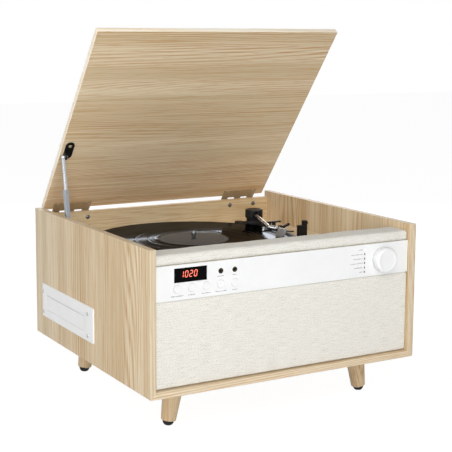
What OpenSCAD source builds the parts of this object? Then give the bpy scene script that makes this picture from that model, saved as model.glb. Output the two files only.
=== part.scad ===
// Stereo music centre with a lift-up lid: a folded wooden cabinet on four legs,
// a padded front rail, a control fascia, a cloth grille, and a record deck inside.
// The origin is on the floor under the cabinet's centre. The front faces -Y.

/* [Cabinet] */
// Outer width of the cabinet
cab_w = 410; // [400:1:440]
// Outer depth of the cabinet, front edge to rear face
cab_d = 380; // [378:1:410]
// Height of the cabinet box without its legs
cab_h = 188; // [186:1:210]
// Thickness of the cabinet panels
panel_t = 9; // [8:0.5:12]
// Height of the legs with their rubber feet
leg_h = 55; // [45:1:70]
// Outward lean of each leg, in degrees
leg_splay = 9; // [0:1:12]
// Largest radius of a leg
leg_r = 14.4; // [12:0.2:17]

/* [Lid] */
// Angle at which the lid stands open, in degrees
lid_open = 52; // [40:1:60]
// Thickness of the lid
lid_t = 8; // [6:0.5:9]
// Gap between the lid and each side panel
lid_side_gap = 4; // [3:0.5:6]
// Width of one hinge
hinge_w = 60; // [50:1:66]
// Distance of each hinge's centre from the middle
hinge_x = 146.5; // [130:0.5:150]

/* [Front] */
// How far the front parts sit behind the cabinet's front edge
front_recess = 6; // [4:0.5:10]
// Height of the white control fascia
fascia_h = 44.2; // [42:0.2:48]
// Depth of the padded top rail
rail_d = 38; // [30:1:44]
// Height of the padded top rail
rail_h = 14; // [12:0.5:18]
// Diameter of the round control knob
knob_dia = 34; // [28:1:36]
// How far the control knob stands out
knob_len = 13; // [9:1:18]
// Diameter of a front push button
button_dia = 10.9; // [8:0.1:12]
// Distance between the source lights
light_pitch = 6.1; // [5:0.1:6.4]

/* [Side bays] */
// Width of each side bezel
bezel_w = 184; // [182:1:196]
// Height of each side bezel
bezel_h = 49; // [44:1:56]
// Width of the disc drawer's front
drawer_w = 137.5; // [134:0.5:146]

/* [Record deck] */
// Sideways place of the platter's centre
platter_x = -31; // [-34:1:-28]
// Front to back place of the platter's centre
platter_y = 18; // [12:1:22]
// Radius of the record
record_r = 150.8; // [148:0.2:151]
// Distance from the tonearm's pivot to the stylus
arm_reach = 177; // [172:0.2:180]

/* [Hidden] */
$fn = 48;

run_gap = 0.05;          // radial clearance of a shaft that turns in a bore
eps = 0.01;
half_w = cab_w / 2;
half_d = cab_d / 2;
in_x = half_w - panel_t;             // inner face of a side panel
box_z = leg_h;                       // underside of the cabinet
top_z = box_z + cab_h;               // top edges of the side panels
floor_z = box_z + panel_t;           // upper face of the bottom panel
back_y = half_d - panel_t;           // inner face of the back panel
front_y = -half_d + front_recess;    // front faces of rail, fascia and grille

lid_under_z = top_z - lid_t;         // underside of the closed lid
rail_top = lid_under_z - 0.7;
rail_bot = rail_top - rail_h;
rail_rear = front_y + rail_d;
fascia_top = rail_bot - 0.3;
fascia_bot = fascia_top - fascia_h;
fascia_t = 3;
fascia_back = front_y + fascia_t;
grille_top = fascia_bot - 0.4;
grille_bot = floor_z + 1.2;
grille_t = 5;
baffle_front = front_y + grille_t;
baffle_t = 12;
baffle_back = baffle_front + baffle_t;
front_side_gap = 0.5;

deck_top = top_z - 48;
deck_t = 12;
deck_bot = deck_top - deck_t;
deck_front = baffle_back + 8;        // room for the control board

wood = "#c8b494";
edge_wood = "#decfb8";
cloth = "#dedcd2";
white = "#f0f2f2";
black = "#1c1c1d";
steel = "#a9adb0";
bronze = "#7f7464";
green = "#2d5a3a";

// ---- shared shapes ----

// Flat outline with round corners, built from plain rectangles and circles.
module rounded(w, h, r) {
  square([w - 2 * r, h], center = true);
  square([w, h - 2 * r], center = true);
  for (sx = [-1, 1], sy = [-1, 1])
    translate([sx * (w / 2 - r), sy * (h / 2 - r)]) circle(r);
}

// Rounded plate that lies across Y: w along X, h along Z, from y0 to y1.
module plate_y(w, h, r, y0, y1) {
  translate([0, y1, 0]) rotate([90, 0, 0]) linear_extrude(y1 - y0) rounded(w, h, r);
}

// Rounded plate that lies across X: w along Y, h along Z, from x0 to x1.
module plate_x(w, h, r, x0, x1) {
  translate([x0, 0, 0]) rotate([90, 0, 90]) linear_extrude(x1 - x0) rounded(w, h, r);
}

module block(x0, x1, y0, y1, z0, z1) {
  translate([x0, y0, z0]) cube([x1 - x0, y1 - y0, z1 - z0]);
}

module rod_y(r, y0, y1) {
  translate([0, y1, 0]) rotate([90, 0, 0]) cylinder(r = r, h = y1 - y0);
}

module rod_x(r, x0, x1) {
  translate([x0, 0, 0]) rotate([0, 90, 0]) cylinder(r = r, h = x1 - x0);
}

// Domed screw head, its flat on y = 0 and its dome towards +Y.
module dome_head(r, h) {
  rotate([-90, 0, 0]) rotate_extrude()
    polygon(concat([[0, 0]], [for (a = [0:15:90]) [r * cos(a), h * sin(a)]]));
}

// ---- cabinet shell ----

bezel_y = 68.5;                      // middle of a side bezel, front to back
bezel_z = box_z + 56;
bezel_t = 2;
bay_y = 76.3;                        // middle of drawer, door and bay, front to back
bay_gap = 0.5;                       // clearance of a mechanism in its bay
mech_side = 2.75;                    // frame of a mechanism beside the drawer
mech_w = drawer_w + 2 * mech_side;
mech_h = 35;
shank_r = 1.5;                       // bezel screw
screw_deep = 7;

module side_panel_shape(side) {
  difference() {
    translate([0, half_d, 0]) rotate([90, 0, 0]) linear_extrude(cab_d)
      polygon([[side * half_w, box_z], [side * in_x, floor_z],
               [side * in_x, top_z], [side * half_w, top_z]]);
    translate([0, bay_y, bezel_z])
      plate_x(mech_w + 2 * bay_gap, mech_h + 2 * bay_gap, bay_gap,
              side * (in_x + panel_t / 2) - panel_t, side * (in_x + panel_t / 2) + panel_t);
    at_bezel_screws(side) rod_x(shank_r + run_gap, -screw_deep - 1, screw_deep + 1);
  }
}

module left_side_panel() { color(wood) side_panel_shape(-1); }
module right_side_panel() { color(wood) side_panel_shape(1); }

leg_inset = 60.7;                    // leg's middle from the cabinet's side
leg_x = half_w - leg_inset;
leg_y = 136;
stud_r = 3;

module bottom_panel() {
  color(edge_wood) difference() {
    translate([0, half_d, 0]) rotate([90, 0, 0]) linear_extrude(cab_d)
      polygon([[-half_w, box_z], [half_w, box_z], [in_x, floor_z], [-in_x, floor_z]]);
    for (sx = [-1, 1], sy = [-1, 1])
      translate([sx * leg_x, sy * leg_y, box_z - 1]) cylinder(r = stud_r + run_gap, h = 8);
  }
}

hinge_y = half_d + 2.8;              // hinge axis, behind the back panel
hinge_z = lid_under_z - 4.5;
back_top = hinge_z + 3.1;
bolt_z = hinge_z - 6;
bolt_dx = 22;
bolt_r = 1.5;
rear_z = box_z + 62;                 // middle of the rear connection plate
rear_w = 130;
rear_h = 56;

module back_panel() {
  color(wood) difference() {
    block(-in_x, in_x, back_y, half_d, floor_z, back_top);
    for (s = [-1, 1], d = [-1, 1])
      translate([s * hinge_x + d * bolt_dx, 0, bolt_z]) rod_y(bolt_r + run_gap, back_y - 1, half_d + 1);
    translate([0, 0, rear_z]) plate_y(rear_w - 12, rear_h - 12, 2, back_y - 1, half_d + 1);
  }
}

spin_hole_r = 8.05;
motor_off = 52;
motor_x = platter_x - motor_off;
motor_y = platter_y + motor_off;
arm_x = platter_x + 159;
arm_y = platter_y + 94;
arm_shaft_r = 4;
speed_x = in_x - 30;
speed_y = -96;
speed_shaft_r = 3;

module deck_board() {
  color(edge_wood) difference() {
    block(-in_x, in_x, deck_front, back_y, deck_bot, deck_top);
    translate([platter_x, platter_y, deck_bot - 1]) cylinder(r = spin_hole_r, h = deck_t + 2);
    translate([motor_x, motor_y, deck_bot - 1]) cylinder(r = 7, h = deck_t + 2);
    translate([speed_x, speed_y, deck_bot - 1]) cylinder(r = speed_shaft_r + run_gap, h = deck_t + 2);
  }
}

// ---- front ----

speaker_x = in_x - 84;
speaker_z = (grille_top + grille_bot) / 2;
speaker_r = 45;

control_z = fascia_bot + 22.1;       // middle height of the control row
display_x = -in_x + 50.6;
display_w = 46.3;
display_h = 18.3;
display_z = fascia_bot + 31;
button_z = fascia_bot + 14.2;
button_x = [for (d = [31.8, 52, 73, 93.6, 114]) -in_x + d];
jack_x = [button_x[3], button_x[4]];
jack_z = fascia_bot + 31;
jack_r = 3.45;
light_x = in_x - 74;
light_w = 1.9;
light_h = 2.9;
lights = 6;
light_z0 = control_z + 2.5 * light_pitch;
knob_x = in_x - 44.8;
knob_z = control_z;
knob_shaft_r = 3;
window_h = (lights - 1) * light_pitch + light_h + 1.8;
windows = [[-in_x + 20, -in_x + 126], [in_x - 82, in_x - 22]]; // edges of the baffle's windows

module baffle_board() {
  color("#b9a382") difference() {
    union() {
      block(-in_x, in_x, baffle_front, baffle_back, floor_z, rail_bot);
      block(-in_x, in_x, fascia_back, baffle_back, fascia_bot, rail_bot);
    }
    for (s = [-1, 1])
      translate([s * speaker_x, 0, speaker_z]) rod_y(speaker_r - 6, baffle_front - 1, baffle_back + 1);
    for (w = windows)
      block(w[0], w[1], fascia_back - 1, baffle_back + 1, control_z - window_h / 2, control_z + window_h / 2);
  }
}

rail_r = 5;

// The rail's section is square at the back and rounded along its top front edge.
module top_rail() {
  y_in = front_y + rail_r;
  color(cloth) rotate([90, 0, 90]) translate([0, 0, -in_x + front_side_gap])
    linear_extrude(2 * (in_x - front_side_gap)) union() {
      translate([y_in, rail_bot]) square([rail_d - rail_r, rail_h]);
      translate([front_y, rail_bot]) square([rail_r + eps, rail_h - rail_r]);
      translate([y_in, rail_top - rail_r]) circle(rail_r);
    }
}

module grille_panel() {
  color(cloth) translate([0, 0, (grille_top + grille_bot) / 2])
    plate_y(2 * (in_x - front_side_gap), grille_top - grille_bot, 4, front_y, baffle_front);
}

module control_fascia() {
  color(white) difference() {
    block(-in_x + front_side_gap, in_x - front_side_gap, front_y, fascia_back, fascia_bot, fascia_top);
    translate([display_x, 0, display_z]) plate_y(display_w, display_h, 0.5, front_y - 1, fascia_back + 1);
    for (x = button_x)
      translate([x, 0, button_z]) rod_y(button_dia / 2 + run_gap, front_y - 1, fascia_back + 1);
    for (x = jack_x) translate([x, 0, jack_z]) rod_y(jack_r + run_gap, front_y - 1, fascia_back + 1);
    for (i = [0:lights - 1])
      block(light_x - light_w / 2, light_x + light_w / 2, front_y - 1, fascia_back + 1,
            light_z0 - i * light_pitch - light_h / 2, light_z0 - i * light_pitch + light_h / 2);
    translate([knob_x, 0, knob_z]) rod_y(4.5, front_y - 1, fascia_back + 1);
  }
}

board_y = baffle_back;               // front face of the control circuit board
board_t = 1.6;

module display_module() {
  color(black) union() {
    translate([display_x, 0, display_z])
      plate_y(display_w - 0.3, display_h - 0.3, 0.5, front_y + 0.3, fascia_back);
    block(display_x - 20, display_x + 20, fascia_back - eps, board_y, display_z - 7, display_z + 7);
  }
}

module source_lights() {
  color("#555555") for (i = [0:lights - 1])
    block(light_x - light_w / 2 + 0.1, light_x + light_w / 2 - 0.1, front_y - 0.1, board_y,
          light_z0 - i * light_pitch - light_h / 2 + 0.1, light_z0 - i * light_pitch + light_h / 2 - 0.1);
}

jack_bore_r = 1.8;
jack_depth = 14;

module front_jacks() {
  color(black) for (x = jack_x) translate([x, 0, jack_z]) difference() {
    union() {
      rod_y(jack_r, front_y - 0.3, fascia_back + 1);
      translate([0, 0, 0.7]) plate_y(8.4, 8.4, 1, fascia_back + 1, board_y);
    }
    rod_y(jack_bore_r, front_y - 1, front_y - 0.3 + jack_depth);
  }
}

button_travel = 0.6;
button_proud = 0.8;
switch_front = board_y - 4;          // front faces of the small push switches

module front_button(i) {
  color(white) translate([button_x[i], 0, button_z]) union() {
    rod_y(button_dia / 2, front_y - button_proud, fascia_back + 0.1);
    rod_y(button_dia / 2 + 0.8, fascia_back + 0.1, fascia_back + 1.2);
    rod_y(2, fascia_back + 1, switch_front - button_travel - 0.1);
  }
}

encoder_front = board_y - 7;

module control_knob() {
  knob_r = knob_dia / 2;
  edge = 2.5;
  color(white) translate([knob_x, 0, knob_z]) rotate([90, 0, 0]) union() {
    translate([0, 0, -front_y + 0.8]) rotate_extrude($fn = 96)
      polygon(concat([[0, 0], [knob_r, 0]],
        [for (a = [0:15:90]) [knob_r - edge + edge * cos(a), knob_len - edge + edge * sin(a)]],
        [[0, knob_len]]));
    translate([0, 0, -board_y + 1]) cylinder(r = knob_shaft_r, h = board_y - front_y + 2);
  }
}

module control_board() {
  color(green) difference() {
    union() {
      block(-in_x + 18, in_x - 18, board_y, board_y + board_t, control_z - 17, control_z + 17);
      for (x = button_x) block(x - 3, x + 3, switch_front, board_y + eps, button_z - 3, button_z + 3);
      block(knob_x - 6.5, knob_x + 6.5, encoder_front, board_y + eps, knob_z - 6.5, knob_z + 6.5);
      block(-20, 30, board_y + board_t - eps, board_y + board_t + 3, control_z - 10, control_z + 8);
    }
    translate([knob_x, 0, knob_z]) rod_y(knob_shaft_r + run_gap, encoder_front - 1, board_y + board_t + 1);
  }
}

// Basket, cone and magnet of both loudspeakers, turned about the cone's axis.
module speaker_drivers() {
  color("#3a3a3c") for (s = [-1, 1])
    translate([s * speaker_x, baffle_back, speaker_z]) rotate([-90, 0, 0]) rotate_extrude($fn = 72)
      polygon([[0, 18], [9, 16], [37, 0], [speaker_r, 0], [speaker_r, 2.5], [39, 3],
               [22, 22], [30, 22], [30, 38], [0, 38]]);
}

// ---- electronics and rear connections ----

module main_board() {
  color(green) union() {
    block(-20, 76, -60, 90, floor_z + 8, floor_z + 9.6);
    for (x = [-15, 71], y = [-55, 85]) translate([x, y, floor_z]) cylinder(r = 3, h = 8 + eps);
    block(0, 50, -40, -20, floor_z + 9.5, floor_z + 34);
    for (i = [0:3]) translate([-8 + 18 * i, 60, floor_z + 9.5]) cylinder(r = 5, h = 16);
    block(0, 30, 0, 30, floor_z + 9.5, floor_z + 13);
  }
}

module power_supply() {
  color("#4a4a50") union() {
    block(-in_x + 46, -in_x + 136, -100, -36, floor_z + 6, floor_z + 7.6);
    for (x = [-in_x + 51, -in_x + 131], y = [-95, -41]) translate([x, y, floor_z]) cylinder(r = 3, h = 6 + eps);
    block(-in_x + 71, -in_x + 111, -88, -50, floor_z + 7.5, floor_z + 37);
    for (i = [0:1]) translate([-in_x + 124, -80 + 22 * i, floor_z + 7.5]) cylinder(r = 6, h = 20);
  }
}

rear_t = 2;
inlet_x = -38;
socket_x = [18, 32];
socket_dz = 9;
socket_r = 4.2;
socket_body_r = 5.4;
socket_len = 9;

module rear_plate() {
  color(black) difference() {
    translate([0, 0, rear_z]) plate_y(rear_w, rear_h, 4, half_d, half_d + rear_t);
    translate([inlet_x, 0, rear_z]) plate_y(21, 11, 3, half_d - 1, half_d + rear_t + 1);
    for (x = socket_x) translate([x, 0, rear_z + socket_dz])
      rod_y(socket_body_r + run_gap, half_d - 1, half_d + rear_t + 1);
  }
}

// Two-pole socket for a mains lead; its two pins stand inside the hollow.
module power_inlet() {
  color("#2a2a2c") translate([inlet_x, 0, rear_z]) union() {
    difference() {
      plate_y(20.8, 10.8, 2.9, half_d - 14, half_d + rear_t + 0.5);
      plate_y(16.4, 7.4, 3.6, half_d - 8, half_d + rear_t + 1);
    }
    for (d = [-1, 1]) translate([d * 4.3, 0, 0]) rod_y(1.2, half_d - 9, half_d - 1);
  }
}

module line_out_sockets() {
  color("#c9b37a") for (x = socket_x) translate([x, 0, rear_z + socket_dz]) difference() {
    union() {
      rod_y(socket_body_r, half_d - 8, half_d + rear_t);
      rod_y(socket_r, half_d + rear_t - eps, half_d + rear_t + socket_len);
    }
    rod_y(1.7, half_d - 4, half_d + rear_t + socket_len + 1);
  }
}

// ---- legs ----

leg_tip_r = 10;
foot_r = 7.6;
leg_len = (leg_h - 6.2) / cos(leg_splay);

module at_legs() {
  for (sx = [-1, 1], sy = [-1, 1])
    translate([sx * leg_x, sy * leg_y, box_z]) rotate([0, -sx * leg_splay, 0]) children();
}

module legs() {
  color("#c9ae87") union() {
    difference() {
      at_legs() rotate_extrude()
        polygon([[0, 6], [leg_r, 6], [leg_tip_r, -leg_len + 1.5],
                 [leg_tip_r - 1.5, -leg_len], [0, -leg_len]]);
      block(-half_w, half_w, -half_d, half_d, box_z, box_z + 20);
    }
    for (sx = [-1, 1], sy = [-1, 1])
      translate([sx * leg_x, sy * leg_y, box_z - 6]) cylinder(r = stud_r, h = 12);
  }
}

module leg_feet() {
  color(black) difference() {
    at_legs() intersection() {
      translate([0, 0, -leg_len]) sphere(foot_r);
      translate([0, 0, -leg_len - 10]) cylinder(r = 10, h = 10);
    }
    block(-half_w, half_w, -half_d, half_d, -10, 0);
  }
}

// ---- lid and its hinges ----

lid_w = 2 * (in_x - lid_side_gap);
lid_rear = -6.3;                     // lid's rear edge from the hinge axis, when closed
lid_len = half_d - rail_rear;         // the closed lid ends just behind the rail
lid_rise = lid_under_z - hinge_z;    // underside of the closed lid above the hinge axis
knuckle_r = 2.3;
leaf_t = 1.2;
pin_r = 1.1;
screw_hole_r = 1.25;
leaf_d = 13;
leaf_over = 3.3;                     // lid leaf's reach past the lid's rear edge
knuckles = 5;
knuckle_w = hinge_w / knuckles;
screw_dx = [-23, 0, 23];
screw_back = 9.7;                    // leaf screws from the lid's rear edge, clear of the back panel

// Places children, drawn for a closed lid about the hinge axis, as the lid stands open.
module on_lid() {
  translate([0, hinge_y, hinge_z]) rotate([-lid_open, 0, 0]) children();
}

module lid() {
  color(wood) on_lid() difference() {
    block(-lid_w / 2, lid_w / 2, lid_rear - lid_len, lid_rear, lid_rise, lid_rise + lid_t);
    for (s = [-1, 1], d = screw_dx)
      translate([s * hinge_x + d, lid_rear - screw_back, lid_rise - 1]) cylinder(r = screw_hole_r, h = 6);
    translate([bracket_x, lid_rear - bracket_screw, lid_rise - 1]) cylinder(r = screw_hole_r, h = 6);
  }
}

module lid_hinge_leaves() {
  color(bronze) on_lid() for (s = [-1, 1]) translate([s * hinge_x, 0, 0]) difference() {
    union() {
      block(-hinge_w / 2, hinge_w / 2, lid_rear - leaf_d, lid_rear + leaf_over,
            lid_rise - leaf_t, lid_rise);
      for (i = [0:2:knuckles - 1]) translate([-hinge_w / 2 + i * knuckle_w + 0.2, 0, 0]) {
        block(0, knuckle_w - 0.4, lid_rear - 1, knuckle_r, lid_rise - leaf_t, lid_rise);
        block(0, knuckle_w - 0.4, knuckle_r - leaf_t, knuckle_r, 0, lid_rise);
        rod_x(knuckle_r, 0, knuckle_w - 0.4);
      }
    }
    rod_x(pin_r + run_gap, -hinge_w / 2 - 1, hinge_w / 2 + 1);
    for (d = screw_dx) translate([d, lid_rear - screw_back, lid_rise - leaf_t - 1])
      cylinder(r = screw_hole_r, h = 3);
  }
}

module back_hinge_leaves() {
  leaf_drop = 20;
  color(bronze) for (s = [-1, 1]) translate([s * hinge_x, hinge_y, hinge_z]) difference() {
    union() {
      block(-hinge_w / 2, hinge_w / 2, half_d - hinge_y, half_d - hinge_y + leaf_t, -leaf_drop, -knuckle_r - 0.4);
      for (i = [1:2:knuckles - 1]) translate([-hinge_w / 2 + i * knuckle_w + 0.2, 0, 0]) {
        rod_x(knuckle_r, 0, knuckle_w - 0.4);
        block(0, knuckle_w - 0.4, half_d - hinge_y, half_d - hinge_y + leaf_t, -knuckle_r - 1, 0);
      }
    }
    rod_x(pin_r + run_gap, -hinge_w / 2 - 1, hinge_w / 2 + 1);
    for (d = [-1, 1]) translate([d * bolt_dx, 0, bolt_z - hinge_z]) rod_y(bolt_r + run_gap, -6, 6);
  }
}

module hinge_pins() {
  color(steel) for (s = [-1, 1]) translate([s * hinge_x, hinge_y, hinge_z])
    rod_x(pin_r, -hinge_w / 2 - 0.5, hinge_w / 2 + 0.5);
}

module lid_screw() {
  union() {
    rotate([-90, 0, 0]) dome_head(2.6, 0.9);
    translate([0, 0, -eps]) cylinder(r = screw_hole_r - run_gap, h = 5.5);
  }
}

// Six screws hold the hinge leaves on the lid, and one holds the stay's bracket.
module lid_screws() {
  color(bronze) on_lid() union() {
    for (s = [-1, 1], d = screw_dx)
      translate([s * hinge_x + d, lid_rear - screw_back, lid_rise - leaf_t]) lid_screw();
    translate([bracket_x, lid_rear - bracket_screw, lid_rise - bracket_t]) lid_screw();
  }
}

module hinge_bolts() {
  color(bronze) for (s = [-1, 1], d = [-1, 1]) translate([s * hinge_x + d * bolt_dx, 0, bolt_z]) union() {
    translate([0, back_y, 0]) rotate([180, 0, 0]) dome_head(3.4, 2.2);
    rod_y(bolt_r, back_y - eps, half_d + leaf_t + 2);
    rod_y(2.8, half_d + leaf_t, half_d + leaf_t + 1.8);
  }
}

// ---- lid stay ----

stay_y0 = 96;                        // lower pivot on the left side panel
stay_z0 = top_z - 18;
stay_pin_along = 116.5;              // stay's upper pivot from the lid's rear edge
stay_pin_off = 8;                    // and below the lid's underside
stay_pin_r = 2;
pin_y = hinge_y + (lid_rear - stay_pin_along) * cos(lid_open) + (lid_rise - stay_pin_off) * sin(lid_open);
pin_z = hinge_z - (lid_rear - stay_pin_along) * sin(lid_open) + (lid_rise - stay_pin_off) * cos(lid_open);
stay_len = norm([pin_y - stay_y0, pin_z - stay_z0]);
stay_ang = atan2(pin_z - stay_z0, pin_y - stay_y0);
bar_show = 46.8;                     // length of bar that shows above the channel
bar_in = 12;                         // length of bar inside the channel, lid open
bar_w = 5.2;
bar_t = 4;
bar_x = -in_x + 5.8;                 // middle of the bar across the cabinet
chan_gap = 0.3;                      // channel to bar, and channel to the wall's stud
chan_wall = 0.9;
chan_back = 1.2;
chan_x = bar_x - bar_t / 2 - chan_gap;
chan_edge = bar_x + bar_t / 2 + chan_gap;
ear_x = chan_edge + 0.7;             // the bracket's ear passes beside the channel
ear_t = 2;
ear_r = 4.5;
bracket_r = 6.6;
bracket_t = 2;
bracket_x = ear_x + bracket_r;
bracket_screw = 131;                 // bracket screw's distance from the lid's rear edge

// Local +Y runs from the lower pivot up along the bar.
module in_stay() {
  translate([0, stay_y0, stay_z0]) rotate([stay_ang, 0, 0]) children();
}

module stay_bracket() {
  ear_y = lid_rear - stay_pin_along;
  screw_y = lid_rear - bracket_screw;
  color(black) on_lid() difference() {
    union() {
      translate([bracket_x, screw_y, lid_rise - bracket_t]) cylinder(r = bracket_r, h = bracket_t);
      block(ear_x, bracket_x + bracket_r, screw_y, ear_y + 10, lid_rise - bracket_t, lid_rise);
      translate([0, ear_y, lid_rise - stay_pin_off]) rod_x(ear_r, ear_x, ear_x + ear_t);
      block(ear_x, ear_x + ear_t, ear_y - ear_r, ear_y + ear_r, lid_rise - stay_pin_off, lid_rise - 1);
    }
    translate([bracket_x, screw_y, lid_rise - bracket_t - 1]) cylinder(r = screw_hole_r, h = bracket_t + 2);
    translate([0, ear_y, lid_rise - stay_pin_off]) rod_x(stay_pin_r + run_gap, ear_x - 1, ear_x + ear_t + 1);
  }
}

// U-shaped channel, open at both ends and towards the cabinet's middle, so the bar slides in it.
module stay_channel() {
  out = bar_w / 2 + chan_gap + chan_wall;
  mouth = stay_len - bar_show;
  color(steel) in_stay() difference() {
    union() {
      block(chan_x - chan_back, chan_edge, -5, mouth, -out, out);
      block(chan_x - chan_back, chan_edge, mouth - 4, mouth, -out - 0.5, out + 0.5);
    }
    block(chan_x, chan_edge + 1, -6, stay_len, -out + chan_wall, out - chan_wall);
  }
}

// Flat bar with its pin, which turns in the bracket's ear under a small head.
module stay_bar() {
  color(steel) in_stay() union() {
    block(bar_x - bar_t / 2, bar_x + bar_t / 2, stay_len - bar_show - bar_in, stay_len, -bar_w / 2, bar_w / 2);
    translate([0, stay_len, 0]) union() {
      rod_x(bar_w / 2, bar_x - bar_t / 2, bar_x + bar_t / 2);
      rod_x(stay_pin_r, bar_x, ear_x + ear_t + 1);
      rod_x(3.2, ear_x + ear_t + 0.3, ear_x + ear_t + 1.3);
    }
  }
}

// Pivot plate on the side panel. Its stud stops just short of the channel's back.
module stay_base() {
  color(steel) in_stay() union() {
    rod_x(8, -in_x, -in_x + 1.2);
    rod_x(2.5, -in_x, chan_x - chan_back - chan_gap);
  }
}

// ---- disc drawer on the left, cassette door on the right ----

drawer_z = box_z + 53.8;
drawer_h = 20.5;
slot_gap = 0.5;
slot_w = drawer_w + 2 * slot_gap;
slot_h = drawer_h + 2 * slot_gap;
tray_w = 128;
tray_t = 7;
tray_len = 146;
disc_r = 61;

module bezel_shape(side, w, h, y, z) {
  x0 = side > 0 ? half_w : -half_w - bezel_t;
  difference() {
    translate([0, bezel_y, bezel_z]) plate_x(bezel_w, bezel_h, 2, x0, x0 + bezel_t);
    translate([0, y, z]) plate_x(w, h, 0.6, x0 - 1, x0 + bezel_t + 1);
    at_bezel_screws(side) rod_x(shank_r + run_gap, -5, 5);
  }
}

module at_bezel_screws(side) {
  rear = bezel_w / 2 - 5;
  front = bezel_w / 2 - 19;
  low = bezel_h / 2 - 7;
  high = bezel_h / 2 - 11.3;
  for (y = [bezel_y + rear, bezel_y - front], z = [bezel_z - low, bezel_z + high])
    translate([side * (half_w + bezel_t / 2), y, z]) children();
}

module cd_bezel() { color(white) bezel_shape(-1, slot_w, slot_h, bay_y, drawer_z); }

module cd_drawer() {
  front_x = -half_w - bezel_t;
  color(white) difference() {
    union() {
      translate([0, bay_y, drawer_z]) plate_x(drawer_w, drawer_h, 0.5, front_x, front_x + 3);
      block(front_x + 2.9, front_x + tray_len, bay_y - tray_w / 2, bay_y + tray_w / 2,
            drawer_z - tray_t / 2, drawer_z + tray_t / 2);
    }
    translate([front_x + 10 + disc_r, bay_y, drawer_z + tray_t / 2 - 2.5]) cylinder(r = disc_r, h = 5, $fn = 96);
    translate([front_x + 10 + disc_r, bay_y, drawer_z - tray_t])
      linear_extrude(20) union() {
        circle(18);
        translate([0, -14]) square([80, 28]);
      }
  }
}

cd_mech_len = 172;

module cd_mechanism() {
  color("#6b6e72") difference() {
    block(-half_w, -half_w + cd_mech_len, bay_y - mech_w / 2, bay_y + mech_w / 2,
          bezel_z - mech_h / 2, bezel_z + mech_h / 2);
    block(-half_w - 1, -half_w + cd_mech_len - 4, bay_y - slot_w / 2, bay_y + slot_w / 2,
          drawer_z - slot_h / 2, drawer_z + slot_h / 2);
  }
}

module bezel_screws() {
  color(steel) for (side = [-1, 1]) at_bezel_screws(side) union() {
    rotate([0, 0, side > 0 ? -90 : 90]) translate([0, bezel_t / 2, 0]) dome_head(2.8, 0.9);
    rod_x(shank_r, side > 0 ? -screw_deep : -bezel_t / 2 - eps, side > 0 ? bezel_t / 2 + eps : screw_deep);
  }
}

door_w = 108;
door_h = 19;
door_z = bezel_z;
door_t = 2;
door_pin_r = 1;
door_pin_x = half_w - door_t / 2 - 0.2;
door_pin_z = door_z + door_h / 2 - 1.5;
door_pin_in = 2.5;                   // how far a pin end reaches into its wall
cavity_w = door_w + 2;
cavity_h = 22;
cavity_len = 68;

module cassette_bezel() { color(white) bezel_shape(1, door_w + 1.2, door_h + 1, bay_y, door_z); }

// Places children at both ends of the flap's pin, mirrored.
module at_door_pins() {
  for (s = [0, 1]) translate([door_pin_x, bay_y, door_pin_z]) mirror([0, s, 0])
    translate([0, door_w / 2, 0]) children();
}

// The flap hangs behind the bezel on a pin at its top edge and swings inwards.
module cassette_door() {
  color(white) union() {
    translate([0, bay_y, door_z])
      plate_x(door_w, door_h, 0.5, door_pin_x - door_t / 2, door_pin_x + door_t / 2);
    at_door_pins() rod_y(door_pin_r, -1, (cavity_w - door_w) / 2 + door_pin_in);
  }
}

module cassette_mechanism() {
  mech_len = 118;
  color("#6b6e72") difference() {
    block(half_w - mech_len, half_w, bay_y - mech_w / 2, bay_y + mech_w / 2,
          bezel_z - mech_h / 2, bezel_z + mech_h / 2);
    block(half_w - cavity_len, half_w + 1, bay_y - cavity_w / 2, bay_y + cavity_w / 2,
          door_z - cavity_h / 2, door_z + cavity_h / 2);
    at_door_pins() rod_y(door_pin_r + run_gap, 0, (cavity_w - door_w) / 2 + door_pin_in + 0.5);
  }
}

// ---- record deck ----

record_top = top_z - 34;
record_t = 1.6;
mat_t = 2;
mat_top = record_top - record_t;
platter_top = mat_top - mat_t;
platter_bot = deck_top + 1.4;
bearing_top = deck_top + 0.6;
platter_r = 143;
drive_r = 60;
spindle_r = 3.6;
pulley_r = 5;
belt_gap = 0.3;
belt_t = 0.7;
belt_z0 = platter_bot + 1.6;
belt_z1 = belt_z0 + 3.4;

module at_platter() { translate([platter_x, platter_y, 0]) children(); }

module platter() {
  color("#2b2b2c") at_platter() rotate_extrude($fn = 128)
    polygon([[spindle_r + run_gap, platter_bot], [12, platter_bot], [12, platter_top - 3],
             [drive_r - 3, platter_top - 3], [drive_r - 3, platter_bot + 0.6], [drive_r, platter_bot + 0.6],
             [drive_r, platter_top - 3], [platter_r - 4, platter_top - 3], [platter_r - 4, platter_bot],
             [platter_r, platter_bot], [platter_r, platter_top], [spindle_r + run_gap, platter_top]]);
}

module slip_mat() {
  color("#343434") at_platter() rotate_extrude($fn = 128)
    polygon([[spindle_r + 0.1, platter_top], [platter_r - 1, platter_top],
             [platter_r - 1, mat_top], [spindle_r + 0.1, mat_top]]);
}

module vinyl_record() {
  label_r = 50;
  color("#141414") at_platter() rotate_extrude($fn = 160)
    polygon([[spindle_r + run_gap, mat_top], [record_r - 0.4, mat_top], [record_r, mat_top + 0.5],
             [record_r, record_top - 0.6], [record_r - 0.6, record_top - 0.1], [record_r - 4, record_top - 0.3],
             [label_r + 6, record_top - 0.3], [label_r + 1, record_top], [spindle_r + run_gap, record_top]]);
}

// Its collar carries the platter.
module spindle() {
  tip = record_top + 13;
  color(steel) at_platter() rotate_extrude()
    polygon([[0, deck_bot - 12], [spindle_r, deck_bot - 12], [spindle_r, bearing_top + 0.3],
             [8, bearing_top + 0.3], [8, platter_bot], [spindle_r, platter_bot], [spindle_r, tip - 4],
             [spindle_r - 0.5, tip - 1.6], [spindle_r - 1.8, tip - 0.3], [0, tip]]);
}

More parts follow.
